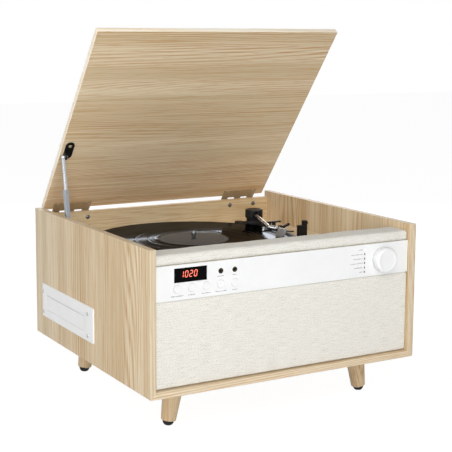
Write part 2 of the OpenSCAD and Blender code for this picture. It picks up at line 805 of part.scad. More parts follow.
module platter_bearing() {
  color("#b59a5a") at_platter() rotate_extrude()
    polygon([[spindle_r + run_gap, deck_bot - 10], [10, deck_bot - 10], [10, deck_bot - 2],
             [15, deck_bot - 2], [15, deck_bot], [spin_hole_r - run_gap, deck_bot],
             [spin_hole_r - run_gap, bearing_top], [spindle_r + run_gap, bearing_top]]);
}

module drive_motor() {
  color("#8a8d90") translate([motor_x, motor_y, 0]) difference() {
    union() {
      translate([0, 0, deck_bot - 22]) cylinder(r = 13, h = 20);
      translate([0, 0, deck_bot - 2]) cylinder(r = 17, h = 2);
    }
    translate([0, 0, deck_bot - 21]) cylinder(r = 1 + run_gap, h = 22);
  }
}

module motor_pulley() {
  color("#c2a35f") translate([motor_x, motor_y, 0]) rotate_extrude()
    polygon([[0, deck_bot - 20], [1, deck_bot - 20], [1, deck_top + 0.8], [pulley_r + 1.4, deck_top + 0.8],
             [pulley_r + 1.4, belt_z0 - 0.4], [pulley_r, belt_z0 - 0.2], [pulley_r, belt_z1 + 0.2], [0, belt_z1 + 0.2]]);
}

module belt_loop(extra) {
  hull() {
    circle(drive_r + extra, $fn = 96);
    translate([motor_x - platter_x, motor_y - platter_y]) circle(pulley_r + extra, $fn = 32);
  }
}

module drive_belt() {
  color(black) translate([platter_x, platter_y, belt_z0]) linear_extrude(belt_z1 - belt_z0) difference() {
    belt_loop(belt_gap + belt_t);
    belt_loop(belt_gap);
  }
}

// ---- tonearm ----

arm_z = record_top + 11;             // height of the arm tube's middle
arm_az = -111;                       // direction the tube points, seen from above
cap_r = 13.8;
cap_bot = arm_z - 5.8;
cap_top = arm_z + 7.2;
slot_half = 3.4;                     // half the width of the cap's slot for the yoke
tube_r = 2.5;
tube_len = arm_reach - 53;
bend_ang = 28;
bend_len = 31.4;
shell_az = -22;
shell_len = 36.3;
shell_tilt = 6.5;
stylus_at = 28;                      // stylus from the headshell's rear end
stub_r = 2.7;                        // headshell's stub, from the tube's collar to the elbow
stem_r = 3;                          // headshell's stem, from the elbow into the shell
stub_at = bend_len - 3.5;
lift_pin_r = 1.5;
elbow_x = tube_len + bend_len * cos(bend_ang);
elbow_y = bend_len * sin(bend_ang);

// Local +X runs along the arm tube, with z = 0 at the tube's middle.
module in_arm() {
  translate([arm_x, arm_y, arm_z]) rotate([0, 0, arm_az]) children();
}

// Local +X runs along the headshell, from its rear end and down towards the record.
module in_shell() {
  in_arm() translate([elbow_x, elbow_y, 0]) rotate([0, shell_tilt, shell_az]) children();
}

cue_x = arm_x + 12;
cue_y = arm_y - 62;
cue_z = deck_top + 11;

module tonearm_base() {
  cue_bar_r = 58;
  color(black) difference() {
    union() {
      translate([arm_x, arm_y, deck_top]) linear_extrude(11) rounded(44, 40, 5);
      translate([arm_x - 20, arm_y + 2, deck_top]) linear_extrude(13) rounded(12, 30, 3);
      translate([arm_x, arm_y, deck_top]) cylinder(r = cap_r - 2.2, h = cap_bot - deck_top - 0.6);
      translate([arm_x + 6, arm_y - 40, deck_top]) linear_extrude(6) rounded(20, 52, 3);
      translate([arm_x, arm_y - cue_bar_r, deck_top]) cylinder(r = 3, h = arm_z - tube_r - 1 - deck_top);
      translate([arm_x, arm_y, arm_z - tube_r - 3]) rotate([0, 0, -138])
        rotate_extrude(angle = 60, $fn = 96) translate([cue_bar_r - 2.5, 0]) square([5, 2]);
      translate([cue_x, cue_y, cue_z]) rod_y(lift_pin_r, -4, 6);
      block(cue_x - 3, cue_x + 3, cue_y + 4, cue_y + 7, deck_top, cue_z + 3);
    }
    translate([arm_x, arm_y, deck_top + 1]) cylinder(r = arm_shaft_r + run_gap, h = 40);
  }
}

module pivot_housing() {
  color(black) difference() {
    union() {
      translate([arm_x, arm_y, 0]) rotate_extrude()
        polygon([[0, cap_bot], [cap_r, cap_bot], [cap_r, cap_top - 1], [cap_r - 1, cap_top], [0, cap_top]]);
      translate([arm_x, arm_y, deck_top + 1.5]) cylinder(r = arm_shaft_r, h = cap_bot - deck_top);
    }
    in_arm() block(-6, cap_r + 2, -slot_half, slot_half, -4, 5.2);
    in_arm() rod_y(lift_pin_r + run_gap, -9, 9);
  }
}

module tonearm_tube() {
  color(steel) in_arm() union() {
    block(-4, 8, 0.4 - slot_half, slot_half - 0.4, -3.2, 3.2);
    rod_y(lift_pin_r, -8, 8);
    rod_x(tube_r, 7, tube_len);
    translate([tube_len, 0, 0]) sphere(tube_r + 0.6);
    translate([tube_len, 0, 0]) rotate([0, 0, bend_ang]) rod_x(tube_r + 1.2, 1, stub_at);
  }
}

// Thin shell that narrows and curls down towards its front end; its underside is flat.
module headshell() {
  color("#9a9da1") union() {
    in_arm() translate([tube_len, 0, 0]) rotate([0, 0, bend_ang]) rod_x(stub_r, stub_at, bend_len + 1.2);
    in_shell() shell_form();
  }
}

module shell_form() {
  crown = 3;
  union() {
    intersection() {
      rotate([90, 0, 0]) translate([0, 0, -10]) linear_extrude(20) polygon(concat(
        [for (t = [0:0.1:1]) [shell_len * t, crown - 2 * t * t]], [[shell_len, 0], [0, 0]]));
      translate([0, 0, -10]) linear_extrude(20)
        polygon([[0, -4.6], [5, -6.8], [shell_len - 10, -6.4], [shell_len - 2, -5.4], [shell_len, -3.6],
                 [shell_len, 3.6], [shell_len - 2, 5.4], [shell_len - 10, 6.4], [5, 6.8], [0, 4.6]]);
    }
    rod_x(stem_r, 0, 6);
    translate([8, 5.6, 0.6]) rotate([0, 0, 70]) block(0, 13, -1, 1, 0, 1.2);
  }
}

module cartridge() {
  color("#202022") in_shell() union() {
    block(stylus_at - 7, stylus_at + 6, -4.8, 4.8, -3.8, 0);
    translate([stylus_at, 0, -7.2]) cylinder(r1 = 0.4, r2 = 1, h = 3.5);
  }
}

rest_x = arm_x + 14.6;
rest_y = arm_y - 110;
rest_top = arm_z - tube_r - 0.4;

module armrest() {
  color(black) union() {
    translate([rest_x + 4, rest_y, deck_top]) linear_extrude(2) rounded(24, 14, 3);
    block(rest_x - 4.5, rest_x + 3.5, rest_y - 3.5, rest_y + 3.5, deck_top, rest_top);
    block(rest_x + 3.5, rest_x + 10, rest_y - 2.5, rest_y + 2.5, deck_top, arm_z + 4);
    translate([rest_x + 10, rest_y, arm_z]) rod_x(1.8, -1, 2);
  }
}

module cue_lever() {
  color(black) translate([cue_x, cue_y, cue_z]) difference() {
    union() {
      rod_y(3.4, -3.4, 3.6);
      rotate([0, -20, 0]) block(2, 15, -2, 2, -2, 2);
      rotate([0, -20, 0]) translate([15, 0, 0]) sphere(2.4);
    }
    rod_y(lift_pin_r + run_gap, -5, 5);
  }
}

module speed_lever() {
  color(black) translate([speed_x, speed_y, 0]) union() {
    translate([0, 0, deck_bot - 4]) cylinder(r = speed_shaft_r, h = deck_t + 6);
    translate([0, 0, deck_top + 0.6]) cylinder(r = 10, h = 4);
    translate([0, 0, deck_top + 0.6]) block(-2, 2, -15, 8, 0, 8);
  }
}

left_side_panel();
right_side_panel();
bottom_panel();
back_panel();
deck_board();
baffle_board();
top_rail();
grille_panel();
control_fascia();
display_module();
source_lights();
front_jacks();
front_button(0);  // front_button_1
front_button(1);  // front_button_2
front_button(2);  // front_button_3
front_button(3);  // front_button_4
front_button(4);  // front_button_5
control_knob();
control_board();
speaker_drivers();
main_board();
power_supply();
rear_plate();
power_inlet();
line_out_sockets();
legs();
leg_feet();
lid();
lid_hinge_leaves();
back_hinge_leaves();
hinge_pins();
lid_screws();
hinge_bolts();
stay_bracket();
stay_channel();
stay_bar();
stay_base();
cd_bezel();
cd_drawer();
cd_mechanism();
bezel_screws();
cassette_bezel();
cassette_door();
cassette_mechanism();
platter();
slip_mat();
vinyl_record();
spindle();
platter_bearing();
drive_motor();
motor_pulley();
drive_belt();
tonearm_base();
pivot_housing();
tonearm_tube();
headshell();
cartridge();
armrest();
cue_lever();
speed_lever();
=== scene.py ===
from math import cos, pi, radians, sin

import bpy
import numpy as np
from mathutils import Matrix, Vector


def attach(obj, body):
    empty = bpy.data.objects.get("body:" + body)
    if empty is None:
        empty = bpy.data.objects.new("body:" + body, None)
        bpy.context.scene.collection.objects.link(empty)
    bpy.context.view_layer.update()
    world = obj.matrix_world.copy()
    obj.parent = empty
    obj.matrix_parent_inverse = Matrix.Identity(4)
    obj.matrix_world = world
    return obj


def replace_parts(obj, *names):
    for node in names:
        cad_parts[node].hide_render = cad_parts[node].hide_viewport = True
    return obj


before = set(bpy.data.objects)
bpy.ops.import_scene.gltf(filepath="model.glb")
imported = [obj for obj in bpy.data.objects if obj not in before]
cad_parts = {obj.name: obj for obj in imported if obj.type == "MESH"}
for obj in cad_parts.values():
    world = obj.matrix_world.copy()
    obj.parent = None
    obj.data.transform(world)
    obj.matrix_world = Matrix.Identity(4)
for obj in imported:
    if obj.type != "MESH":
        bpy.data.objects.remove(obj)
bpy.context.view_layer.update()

# ---- view, floor and light ----
# A stereo music centre stands on a pale floor, seen from the left and a little above.
# The camera is the one that fits the cabinet's corners and the lid's corners in the photograph.
yaw, pitch, roll = 0.528037651, 0.147317141, 0.00608391910  # radians
lens_place = (-0.812716, -1.413468, 0.507339)
ahead = Vector((sin(yaw) * cos(pitch), cos(yaw) * cos(pitch), -sin(pitch)))
right = Vector((cos(yaw), -sin(yaw), 0))
up = right.cross(ahead)
level = cos(roll) * right + sin(roll) * up
upright = -sin(roll) * right + cos(roll) * up
lens = bpy.data.cameras.new("view")
lens.lens = 91.976
lens.sensor_width = 36
lens.shift_y = -0.0575
camera = bpy.data.objects.new("view", lens)
turned_view = Matrix((level, upright, -ahead)).transposed().to_4x4()
camera.matrix_world = Matrix.Translation(lens_place) @ turned_view
bpy.context.scene.collection.objects.link(camera)
bpy.context.scene.camera = camera
bpy.context.scene.view_settings.view_transform = "Standard"


def node(m, kind, inputs=None, **settings):
    """Adds a shader node; an input is a constant, or another node's output that is joined to it."""
    n = m.node_tree.nodes.new("ShaderNode" + kind)
    for key, value in settings.items():
        setattr(n, key, value)
    for key, value in (inputs or {}).items():
        if isinstance(value, bpy.types.NodeSocket):
            m.node_tree.links.new(value, n.inputs[key])
        else:
            n.inputs[key].default_value = value
    return n


def sum_of(m, operation, a, b=0.0):
    """One step of arithmetic on two values."""
    return node(m, "Math", {0: a, 1: b}, operation=operation).outputs[0]


def white_share(m, least):
    """Light Path: 1 for camera, glossy and transmission rays, and the least value for others."""
    path = node(m, "LightPath")
    seen = sum_of(m, "MAXIMUM", path.outputs["Is Camera Ray"], path.outputs["Is Glossy Ray"])
    seen = sum_of(m, "MAXIMUM", seen, path.outputs["Is Transmission Ray"])
    return sum_of(m, "MAXIMUM", seen, least)


fill_light = 0.18
world = bpy.data.worlds.new("studio")
bpy.context.scene.world = world
world.use_nodes = True
sky = world.node_tree.nodes["Background"]
sky.inputs["Color"].default_value = (1, 1, 1, 1)
world.node_tree.links.new(white_share(world, fill_light), sky.inputs["Strength"])

reach, paper_grey, paper_glow, glow_share = 6, 0.86, 1.13, 0.84
floor_mesh = bpy.data.meshes.new("floor")
corners = [(-reach, -reach, 0), (reach, -reach, 0), (reach, reach, 0), (-reach, reach, 0)]
floor_mesh.from_pydata(corners, [], [(0, 1, 2, 3)])
floor = bpy.data.objects.new("floor", floor_mesh)
bpy.context.scene.collection.objects.link(floor)
paper = bpy.data.materials.new("studio paper")
paper.use_nodes = True
tree = paper.node_tree
tree.nodes.remove(tree.nodes["Principled BSDF"])
dull = node(paper, "BsdfDiffuse", {"Color": (paper_grey, paper_grey, paper_grey, 1)})
bright = node(paper, "Emission", {"Color": (1, 1, 1, 1), "Strength": paper_glow})
share = sum_of(paper, "MULTIPLY", white_share(paper, 0.0), glow_share)
both = node(paper, "MixShader", {0: share, 1: dull.outputs[0], 2: bright.outputs[0]})
tree.links.new(both.outputs[0], tree.nodes["Material Output"].inputs["Surface"])
floor_mesh.materials.append(paper)

cabinet_mid = Vector((0, 0, 0.2))


def lamp(name, place, width, power, height=None):
    """A soft box in metres and watts, square or of its own height, aimed at the cabinet."""
    light = bpy.data.lights.new(name, "AREA")
    light.shape = "RECTANGLE"
    light.size, light.size_y = width, height or width
    light.energy = power
    piece = bpy.data.objects.new(name, light)
    away = Vector(place) - cabinet_mid
    aim = away.to_track_quat("Z", "Y").to_matrix().to_4x4()
    piece.matrix_world = Matrix.Translation(place) @ aim
    bpy.context.scene.collection.objects.link(piece)


lamp("key box", (-0.9, -2.0, 2.2), 1.4, 29)
lamp("side box", (-2.6, -0.2, 1.2), 1.6, 21)
lamp("low front box", (-0.9, -2.3, 0.35), 1.2, 34)
lamp("back box", (0.75, 1.5, 0.46), 1.3, 9, 0.3)

# ---- cabinet wrap ----
# Left side, bottom and right side are one board in oak-look veneer, folded at two corners.
# Its edges are banded in a paler strip, and a bay is cut in each side for a drawer or a door.

# Shapes are drawn in millimetres: underside, top edge, half width, half depth, thickness, bay.
box_z, top_z, half_w, half_d, board = 55, 243, 205, 190, 9
bay_mid, bay_size = (76.3, 111), (144, 36)


def skin(rings, loop=False, open_start=False):
    """Joins a stack of closed outlines, shaped (stack, points, 3), by quads. One face closes each
    end, unless the stack loops back to its start, or its start stays open. If the enclosed volume,
    summed over the triangles about the middle, is negative, every face is turned round."""
    rings = np.asarray(rings, float)
    m, k = rings.shape[:2]
    i = np.arange(m if loop else m - 1)[:, None]
    j, after = np.arange(k)[None, :], (np.arange(k)[None, :] + 1) % k
    here, there = i * k, (i + 1) % m * k
    quads = np.stack(np.broadcast_arrays(here + j, here + after, there + after, there + j), -1)
    quads = quads.reshape(-1, 4)
    points = rings.reshape(-1, 3)
    tris = np.concatenate([quads[:, [0, 1, 2]], quads[:, [0, 2, 3]]])
    caps = []
    if not loop:
        first, last = np.arange(k)[::-1], np.arange(k) + (m - 1) * k
        caps = [first.tolist(), last.tolist()]
        fans = [np.stack([np.full(k - 2, c[0]), c[1:-1], c[2:]], 1) for c in (first, last)]
        tris = np.concatenate([tris, *fans])
    a, b, c = np.moveaxis(points[tris] - points.mean(0), 1, 0)
    faces = quads.tolist() + caps[open_start:]
    if (np.cross(a, b) * c).sum() < 0:
        faces = [face[::-1] for face in faces]
    return points, faces


def smooth(piece, crease=35):
    """Smooth shading, kept sharp where two faces meet at more than the crease angle."""
    mesh = piece.data
    mesh.polygons.foreach_set("use_smooth", np.ones(len(mesh.polygons), bool))
    mesh.set_sharp_from_angle(angle=radians(crease))


def make(name, shells, finishes, body, crease=35):
    """Puts shells, with points in millimetres, into one mesh at the origin. Shading is smooth up to
    the crease angle. The piece takes the finishes that it is given and rides on a body. A shape
    without a body is left as it is."""
    points, faces = [], []
    for p, f in shells:
        offset = sum(len(q) for q in points)
        points.append(p)
        faces += [[v + offset for v in face] for face in f]
    mesh = bpy.data.meshes.new(name)
    mesh.from_pydata(np.concatenate(points) * 0.001, [], faces)
    for finish in finishes if isinstance(finishes, (list, tuple)) else [finishes]:
        mesh.materials.append(finish)
    piece = bpy.data.objects.new(name, mesh)
    bpy.context.scene.collection.objects.link(piece)
    if body:
        smooth(piece, crease)
        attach(piece, body)
    return piece


def of_faces(piece, what):
    """The centre or the normal of each face of a piece, in metres."""
    values = np.empty(len(piece.data.polygons) * 3)
    piece.data.polygons.foreach_get(what, values)
    return values.reshape(-1, 3)


def paint(piece, numbers):
    """Gives each face of a piece the finish of its number."""
    piece.data.polygons.foreach_set("material_index", np.asarray(numbers, np.int32))


def outline(w, h, r, steps=6):
    """A rectangle w by h with round corners: quarter circles of radius r about four centres."""
    a = np.linspace(0, pi / 2, steps + 1) + np.arange(4)[:, None] * pi / 2
    mid = np.array([[1, 1], [-1, 1], [-1, -1], [1, -1]]) * [w / 2 - r, h / 2 - r]
    return np.stack([mid[:, :1] + r * np.cos(a), mid[:, 1:] + r * np.sin(a)], -1).reshape(-1, 2)


def stand(flat, at, axis, mid):
    """Sets outlines (stack, points, 2) across an axis: each at its place along it, about mid."""
    out = np.empty((*flat.shape[:2], 3))
    across = [i for i in range(3) if i != axis]
    out[..., across[0]] = mid[0] + flat[..., 0]
    out[..., across[1]] = mid[1] + flat[..., 1]
    out[..., axis] = np.asarray(at)[:, None]
    return out


def eased(lo, hi, edge):
    """Places from lo to hi and their insets, for a quarter round of radius edge at both faces:
    the inset is edge times one minus the sine, and the rise is edge times one minus the cosine."""
    a = np.linspace(0, pi / 2, 5)
    inset, rise = edge * (1 - np.sin(a)), edge * (1 - np.cos(a))
    return np.r_[lo + rise, hi - rise[::-1]], np.r_[inset, inset[::-1]]


def plate(axis, mid, size, radius, lo, hi, edge=0.5, steps=6):
    """A flat plate across an axis, from lo to hi, with round corners and rounded edges."""
    at, insets = eased(lo, hi, edge)
    flat = [outline(size[0] - 2 * d, size[1] - 2 * d, max(radius - d, 0.05), steps) for d in insets]
    return skin(stand(np.array(flat), at, axis, mid))


def carve(piece, shells):
    """Cuts the shells' solids out of a piece with an exact Boolean that is applied at once."""
    cutter = make("cutter", shells, [], None)
    cut = piece.modifiers.new("cut", "BOOLEAN")
    cut.object = cutter
    cut.solver = "EXACT"
    cut.use_self = True
    result = piece.evaluated_get(bpy.context.evaluated_depsgraph_get())
    done = bpy.data.meshes.new_from_object(result)
    piece.modifiers.clear()
    old, piece.data = piece.data, done
    done.name = old.name
    bpy.data.meshes.remove(old)
    bpy.data.objects.remove(cutter)
    smooth(piece)
    return piece


def srgb(*shade):
    """A colour written from 0 to 255, as shaders want it: each part over 255, to the power 2.2."""
    return tuple((part / 255) ** 2.2 for part in shade)


def shader(name, shade=(255, 255, 255), rough=0.5, **own):
    """A material with one Principled shader, whose constants sit on its own sockets."""
    m = bpy.data.materials.new(name)
    m.use_nodes = True
    sockets = m.node_tree.nodes["Principled BSDF"].inputs
    sockets["Base Color"].default_value = (*srgb(*shade), 1)
    sockets["Roughness"].default_value = rough
    for socket, value in own.items():
        sockets[socket.replace("_", " ")].default_value = value
    return m


def blend_of(m, share, a, b):
    """Mixes colour a with colour b by a share from 0 to 1."""
    a = a if isinstance(a, bpy.types.NodeSocket) else (*srgb(*a), 1)
    b = b if isinstance(b, bpy.types.NodeSocket) else (*srgb(*b), 1)
    return node(m, "Mix", {0: share, 6: a, 7: b}, data_type="RGBA").outputs[2]


def ramp_of(m, value, *stops):
    """Turns a value into a colour by (place, shade) stops."""
    n = node(m, "ValToRGB", {0: value})
    while len(n.color_ramp.elements) < len(stops):
        n.color_ramp.elements.new(0.5)
    for element, (place, shade) in zip(n.color_ramp.elements, stops):
        element.position = place
        element.color = (*srgb(*shade), 1)
    return n.outputs["Color"]


def finish_of(m, colour=None, rough=None, height=None, depth=0.0001, strength=0.5):
    """Joins a colour, a roughness and a relief of that depth in metres to the shader."""
    tree = m.node_tree
    sockets = tree.nodes["Principled BSDF"].inputs
    if colour:
        tree.links.new(colour, sockets["Base Color"])
    if rough:
        tree.links.new(rough, sockets["Roughness"])
    if height:
        relief = node(m, "Bump", {"Height": height, "Distance": depth, "Strength": strength})
        tree.links.new(relief.outputs[0], sockets["Normal"])
    return m


def veneer(name, turn, pale, mid, dark, shift=(0, 0, 0), rough=0.5, lines=1.0, painted_light_ramp=None):
    """Oak veneer. The object's place is turned so that the grain runs along X, then stretched.
    Growth lines are thin and warm: the square of a sine of the way across the grain, bent by a
    slow noise into arches. A second noise makes them strong or faint, over pale bands, fibres and
    pores. With painted_light_ramp, the tone is scaled by the first share at the lid's foot and by
    the second at its top: painted light, lighter at the foot where the cabinet casts shade, and
    darker at the top, which catches more light."""
    ring_rate = 1700.0 * lines  # radians for each metre across the grain: a line every 3.7 mm
    arch_sway, fray_sway = 300.0, 5.0  # radians
    m = shader(name, mid, rough, Specular_IOR_Level=0.3)
    place = node(m, "TexCoord").outputs["Object"]
    laid = node(m, "Mapping", {"Vector": place, "Rotation": turn, "Location": shift}).outputs[0]

    def field(along, across, detail, rise=0.5):
        stretch = node(m, "VectorMath", {0: laid, 1: (along, across, across)}, operation="MULTIPLY")
        inputs = {"Vector": stretch.outputs[0], "Scale": 1.0, "Detail": detail, "Roughness": rise}
        return node(m, "TexNoise", inputs).outputs[0]

    def share(value, lo, hi, a, b):
        return node(m, "MapRange", {0: value, 1: lo, 2: hi, 3: a, 4: b}).outputs[0]

    parts = node(m, "SeparateXYZ", {0: laid})
    across = sum_of(m, "ADD", parts.outputs[1], parts.outputs[2])
    bands, fibres, fine = field(0.5, 26, 3, 0.6), field(5, 420, 3, 0.65), field(28, 900, 2, 0.5)
    bent = sum_of(m, "MULTIPLY", field(0.8, 8, 1.0, 0.4), arch_sway)
    frayed = sum_of(m, "MULTIPLY", field(6, 140, 2, 0.6), fray_sway)
    turns = sum_of(m, "ADD", sum_of(m, "MULTIPLY", across, ring_rate), bent)
    turns = sum_of(m, "ADD", turns, frayed)
    wave = sum_of(m, "MULTIPLY_ADD", sum_of(m, "SINE", turns), 0.5)
    wave.node.inputs[2].default_value = 0.5
    strong = share(field(0.7, 16, 2), 0.4, 0.6, 0.16, 0.9)
    thin = sum_of(m, "MULTIPLY", sum_of(m, "POWER", wave, 2.0), strong)
    tone = blend_of(m, share(bands, 0.4, 0.6, 0.0, 1.0), mid, pale)
    tone = blend_of(m, share(fibres, 0.48, 0.7, 0.0, 0.5), tone, dark)
    tone = blend_of(m, sum_of(m, "MULTIPLY", thin, share(fibres, 0.35, 0.6, 0.4, 1.25)), tone, dark)
    pores = share(fine, 0.56, 0.7, 0.0, 0.5)
    tone = blend_of(m, pores, tone, dark)
    # Painted light: the tone is lighter at the lid's foot, which lies in the cabinet's shade, and
    # darker at its top.
    if painted_light_ramp:
        foot_z, head_z = 0.24, 0.5
        rise = node(m, "SeparateXYZ", {0: place}).outputs[2]
        scale = share(rise, foot_z, head_z, *painted_light_ramp)
        tone = node(m, "VectorMath", {0: tone, "Scale": scale}, operation="SCALE").outputs[0]
    relief = sum_of(m, "SUBTRACT", fibres, pores)
    matt = share(fibres, 0.3, 0.7, rough - 0.07, rough + 0.08)
    return finish_of(m, tone, matt, relief, 0.0002, 0.2)


along_x, along_z = (0, 0, 0), (0, radians(90), 0)
side_oak = veneer("side veneer", along_z, (231, 216, 187), (210, 192, 158), (186, 144, 94))
edge_oak = veneer("edge band", along_z, (221, 208, 184), (211, 195, 168), (192, 160, 122),
                  (0.3, 0, 0.1))
base_oak = veneer("base veneer", along_x, (218, 202, 172), (205, 186, 153), (184, 146, 102),
                  (0.2, 0, 0))
base_edge = veneer("base edge band", along_x, (228, 213, 187), (218, 200, 170), (196, 162, 122),
                   (0.7, 0, 0))

fold, crook, edge_round = 2.2, 0.4, 0.09  # outer and inner corner; the last is a share of the board
a = np.linspace(0, pi / 2, 7)
wall_z = np.linspace(top_z, box_z + board + 1, 3)
outer_left = np.r_[
    np.c_[np.full(3, -half_w), wall_z],
    np.c_[-half_w + fold - fold * np.cos(a), box_z + fold - fold * np.sin(a)],
]
inner_left = np.r_[
    np.c_[np.full(3, board - half_w), wall_z],
    np.c_[board - half_w + crook - crook * np.cos(a), box_z + board + crook - crook * np.sin(a)],
]
outer = np.r_[outer_left, outer_left[::-1] * [-1, 1]]
inner = np.r_[inner_left, inner_left[::-1] * [-1, 1]]
section = outline(1, 2 * half_d / board, edge_round, 4) + [0.5, 0]
spread = outer[:, None] + section[None, :, :1] * (inner - outer)[:, None]
depth = np.broadcast_to(section[:, 1] * board, spread.shape[:2])
wrap = make(
    "cabinet_wrap",
    [skin(np.stack([spread[..., 0], depth, spread[..., 1]], -1))],
    [side_oak, edge_oak, base_oak, base_edge], None,
)
cut_reach = 20
carve(wrap, [
    plate(0, bay_mid, bay_size, 0.5, s - cut_reach, s + cut_reach, 0.01) for s in (-half_w, half_w)
])
mid, facing = of_faces(wrap, "center") * 1000, of_faces(wrap, "normal")
turned_away = 0.35  # the least share of a normal for a face to count as an edge
# A face is the bottom board's where it lies nearer the underside than its side.
in_base = mid[:, 2] - box_z < half_w - np.abs(mid[:, 0])
is_edge = np.abs(facing[:, 1]) > turned_away
is_edge |= (facing[:, 2] > turned_away) & (mid[:, 2] > top_z - 2)
paint(wrap, 2 * in_base + is_edge)
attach(wrap, "cabinet")
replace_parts(wrap, "left_side_panel", "right_side_panel", "bottom_panel")


# ---- back panel and deck board ----
# The back panel lies between the sides, with its grain from side to side. The deck board carries
# the record player and is a paler board with a cream wash.
def dress(finish, *nodes):
    """Gives CAD nodes a finish, in place of their plain one."""
    for name in nodes:
        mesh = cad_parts[name].data
        mesh.materials.clear()
        mesh.materials.append(finish)


back_oak = veneer("back veneer", along_x, (229, 208, 170), (211, 187, 147), (176, 129, 78),
                  (0.1, 0.3, 0))
dress(back_oak, "back_panel")
deck_oak = veneer("deck veneer", along_x, (232, 220, 196), (224, 208, 180), (206, 178, 142),
                  (0, 0.4, 0))
dress(deck_oak, "deck_board")

# ---- legs and feet ----
# Four turned beech legs taper to the ground and lean outwards. Each ends in a round rubber foot.
leg_mid, lean = (144.3, 136), radians(9)
# The gap is under the wood. The radius tapers from top to tip, from a little way up in the cabinet.
leg_gap, taper_start, leg_top, leg_tip, tip_round, foot_r = 6.2, 6, 14.4, 10, 1.5, 7.6
leg_oak = veneer("leg beech", along_z, (214, 193, 161), (203, 180, 145), (184, 148, 106),
                 (0.5, 0.2, 0), 0.45, 0.5)


def mottled(name, shade, rough, grain, *stops, matt=None, relief=None, **own):
    """A material that one noise makes uneven. Its colour follows the (place, shade) stops, its
    roughness the matt pair, and its relief has a depth in metres and a strength."""
    m = shader(name, shade, rough, **own)
    noise = node(m, "TexNoise", grain).outputs[0]
    if matt:
        matt = node(m, "MapRange", {0: noise, 1: 0.3, 2: 0.7, 3: matt[0], 4: matt[1]}).outputs[0]
    return finish_of(m, ramp_of(m, noise, *stops), matt, noise if relief else None, *(relief or ()))


rubber = mottled("foot rubber", (30, 30, 31), 0.75, {"Scale": 900.0, "Detail": 3.0},
                 (0.3, (24, 24, 25)), (0.7, (38, 38, 39)), relief=(0.0001, 0.4),
                 Specular_IOR_Level=0.3)


def leaning(rings, sx, sy):
    """Leans rings about the Y axis through a leg's upper end, outwards on its own side."""
    x = rings[..., 0] * cos(lean) - sx * rings[..., 2] * sin(lean)
    z = sx * rings[..., 0] * sin(lean) + rings[..., 2] * cos(lean)
    return np.stack([sx * leg_mid[0] + x, sy * leg_mid[1] + rings[..., 1], box_z + z], -1)


def ring(radius, z, steps=40):
    """Circles of those radii at those heights."""
    a = np.linspace(0, 2 * pi, steps, endpoint=False)
    radius, z = np.asarray(radius, float)[:, None], np.asarray(z, float)[:, None]
    return np.stack(np.broadcast_arrays(radius * np.cos(a), radius * np.sin(a), z), -1)


leg_len = (box_z - leg_gap) / cos(lean)
down = np.linspace(0, leg_len - tip_round, 8)
taper_len = leg_len + (taper_start - tip_round)
taper = leg_top + (leg_tip - leg_top) * (down + taper_start) / taper_len
a = np.linspace(0, pi / 2, 5)[1:]
radii = np.r_[taper, leg_tip - tip_round + tip_round * np.cos(a)]
heights = np.r_[-down, -leg_len + tip_round - tip_round * np.sin(a)]
legs, feet = [], []
for sx in (-1, 1):
    for sy in (-1, 1):
        cone = leaning(ring(radii, heights), sx, sy)
        cone[0, :, 2] = box_z
        legs.append(skin(cone))
        a = np.linspace(0.02, pi / 2 - 0.03, 9)
        ball = leaning(ring(foot_r * np.cos(a), -leg_len - foot_r * np.sin(a)), sx, sy)
        ball[..., 2] = np.maximum(ball[..., 2], 0)
        feet.append(skin(ball))
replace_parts(make("leg_cones", legs, leg_oak, "cabinet"), "legs")
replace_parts(make("foot_pads", feet, rubber, "cabinet"), "leg_feet")

# ---- padded rail ----
# A wooden rail wrapped in thin foam and oatmeal cloth closes the top of the front. Its front top
# edge and its ends are round, and the cloth is tucked under along the bottom.
inner_x, front_y, baffle_y = 196, -184, -179
rail_lo, rail_hi, rail_rear = 220.3, 234.3, -146


def oatmeal_cloth(name):
    """Plain weave: the relief is the product of two sines, along X and along the sum of Y and Z, so
    it follows the cloth round a front edge. Slow and quick noise give the slubs and grey specks."""
    warp_step, weft_step = 0.00075, 0.00085  # metres from thread to thread
    m = shader(name, (224, 221, 212), 0.92, Specular_IOR_Level=0.1, Sheen_Weight=0.15,
               Sheen_Roughness=0.6)
    place = node(m, "TexCoord").outputs["Object"]
    parts = node(m, "SeparateXYZ", {0: place})
    across, rise = parts.outputs[0], sum_of(m, "ADD", parts.outputs[1], parts.outputs[2])
    sway = node(m, "TexNoise", {"Vector": place, "Scale": 120.0, "Detail": 2.0}).outputs[0]
    sway = sum_of(m, "MULTIPLY", sway, 5.0)
    threads = sum_of(m, "ADD", sum_of(m, "MULTIPLY", across, pi / warp_step), sway)
    picks = sum_of(m, "ADD", sum_of(m, "MULTIPLY", rise, pi / weft_step), sway)
    weave = sum_of(m, "MULTIPLY", sum_of(m, "SINE", threads), sum_of(m, "SINE", picks))
    flat_on = node(m, "CombineXYZ", {0: across, 1: rise}).outputs[0]
    stretch = node(m, "VectorMath", {0: flat_on, 1: (1, 1.5, 1)}, operation="MULTIPLY").outputs[0]
    quick = {"Vector": stretch, "Scale": 780.0, "Detail": 2.0, "Roughness": 0.6}
    specks = node(m, "TexNoise", quick).outputs[0]
    slubs = node(m, "VectorMath", {0: flat_on, 1: (60, 900, 1)}, operation="MULTIPLY").outputs[0]
    slubs = node(m, "TexNoise", {"Vector": slubs, "Scale": 1.0, "Detail": 2.0}).outputs[0]
    value = sum_of(m, "MULTIPLY", specks, 0.72)
    value = sum_of(m, "ADD", value, sum_of(m, "MULTIPLY", slubs, 0.28))
    value = sum_of(m, "ADD", value, sum_of(m, "MULTIPLY", weave, 0.03))
    tone = ramp_of(m, value, (0.32, (180, 175, 162)), (0.45, (222, 219, 210)),
                   (0.58, (240, 238, 231)))
    relief = sum_of(m, "ADD", sum_of(m, "MULTIPLY", weave, 0.5), specks)
    return finish_of(m, tone, None, relief, 0.00025, 0.4)


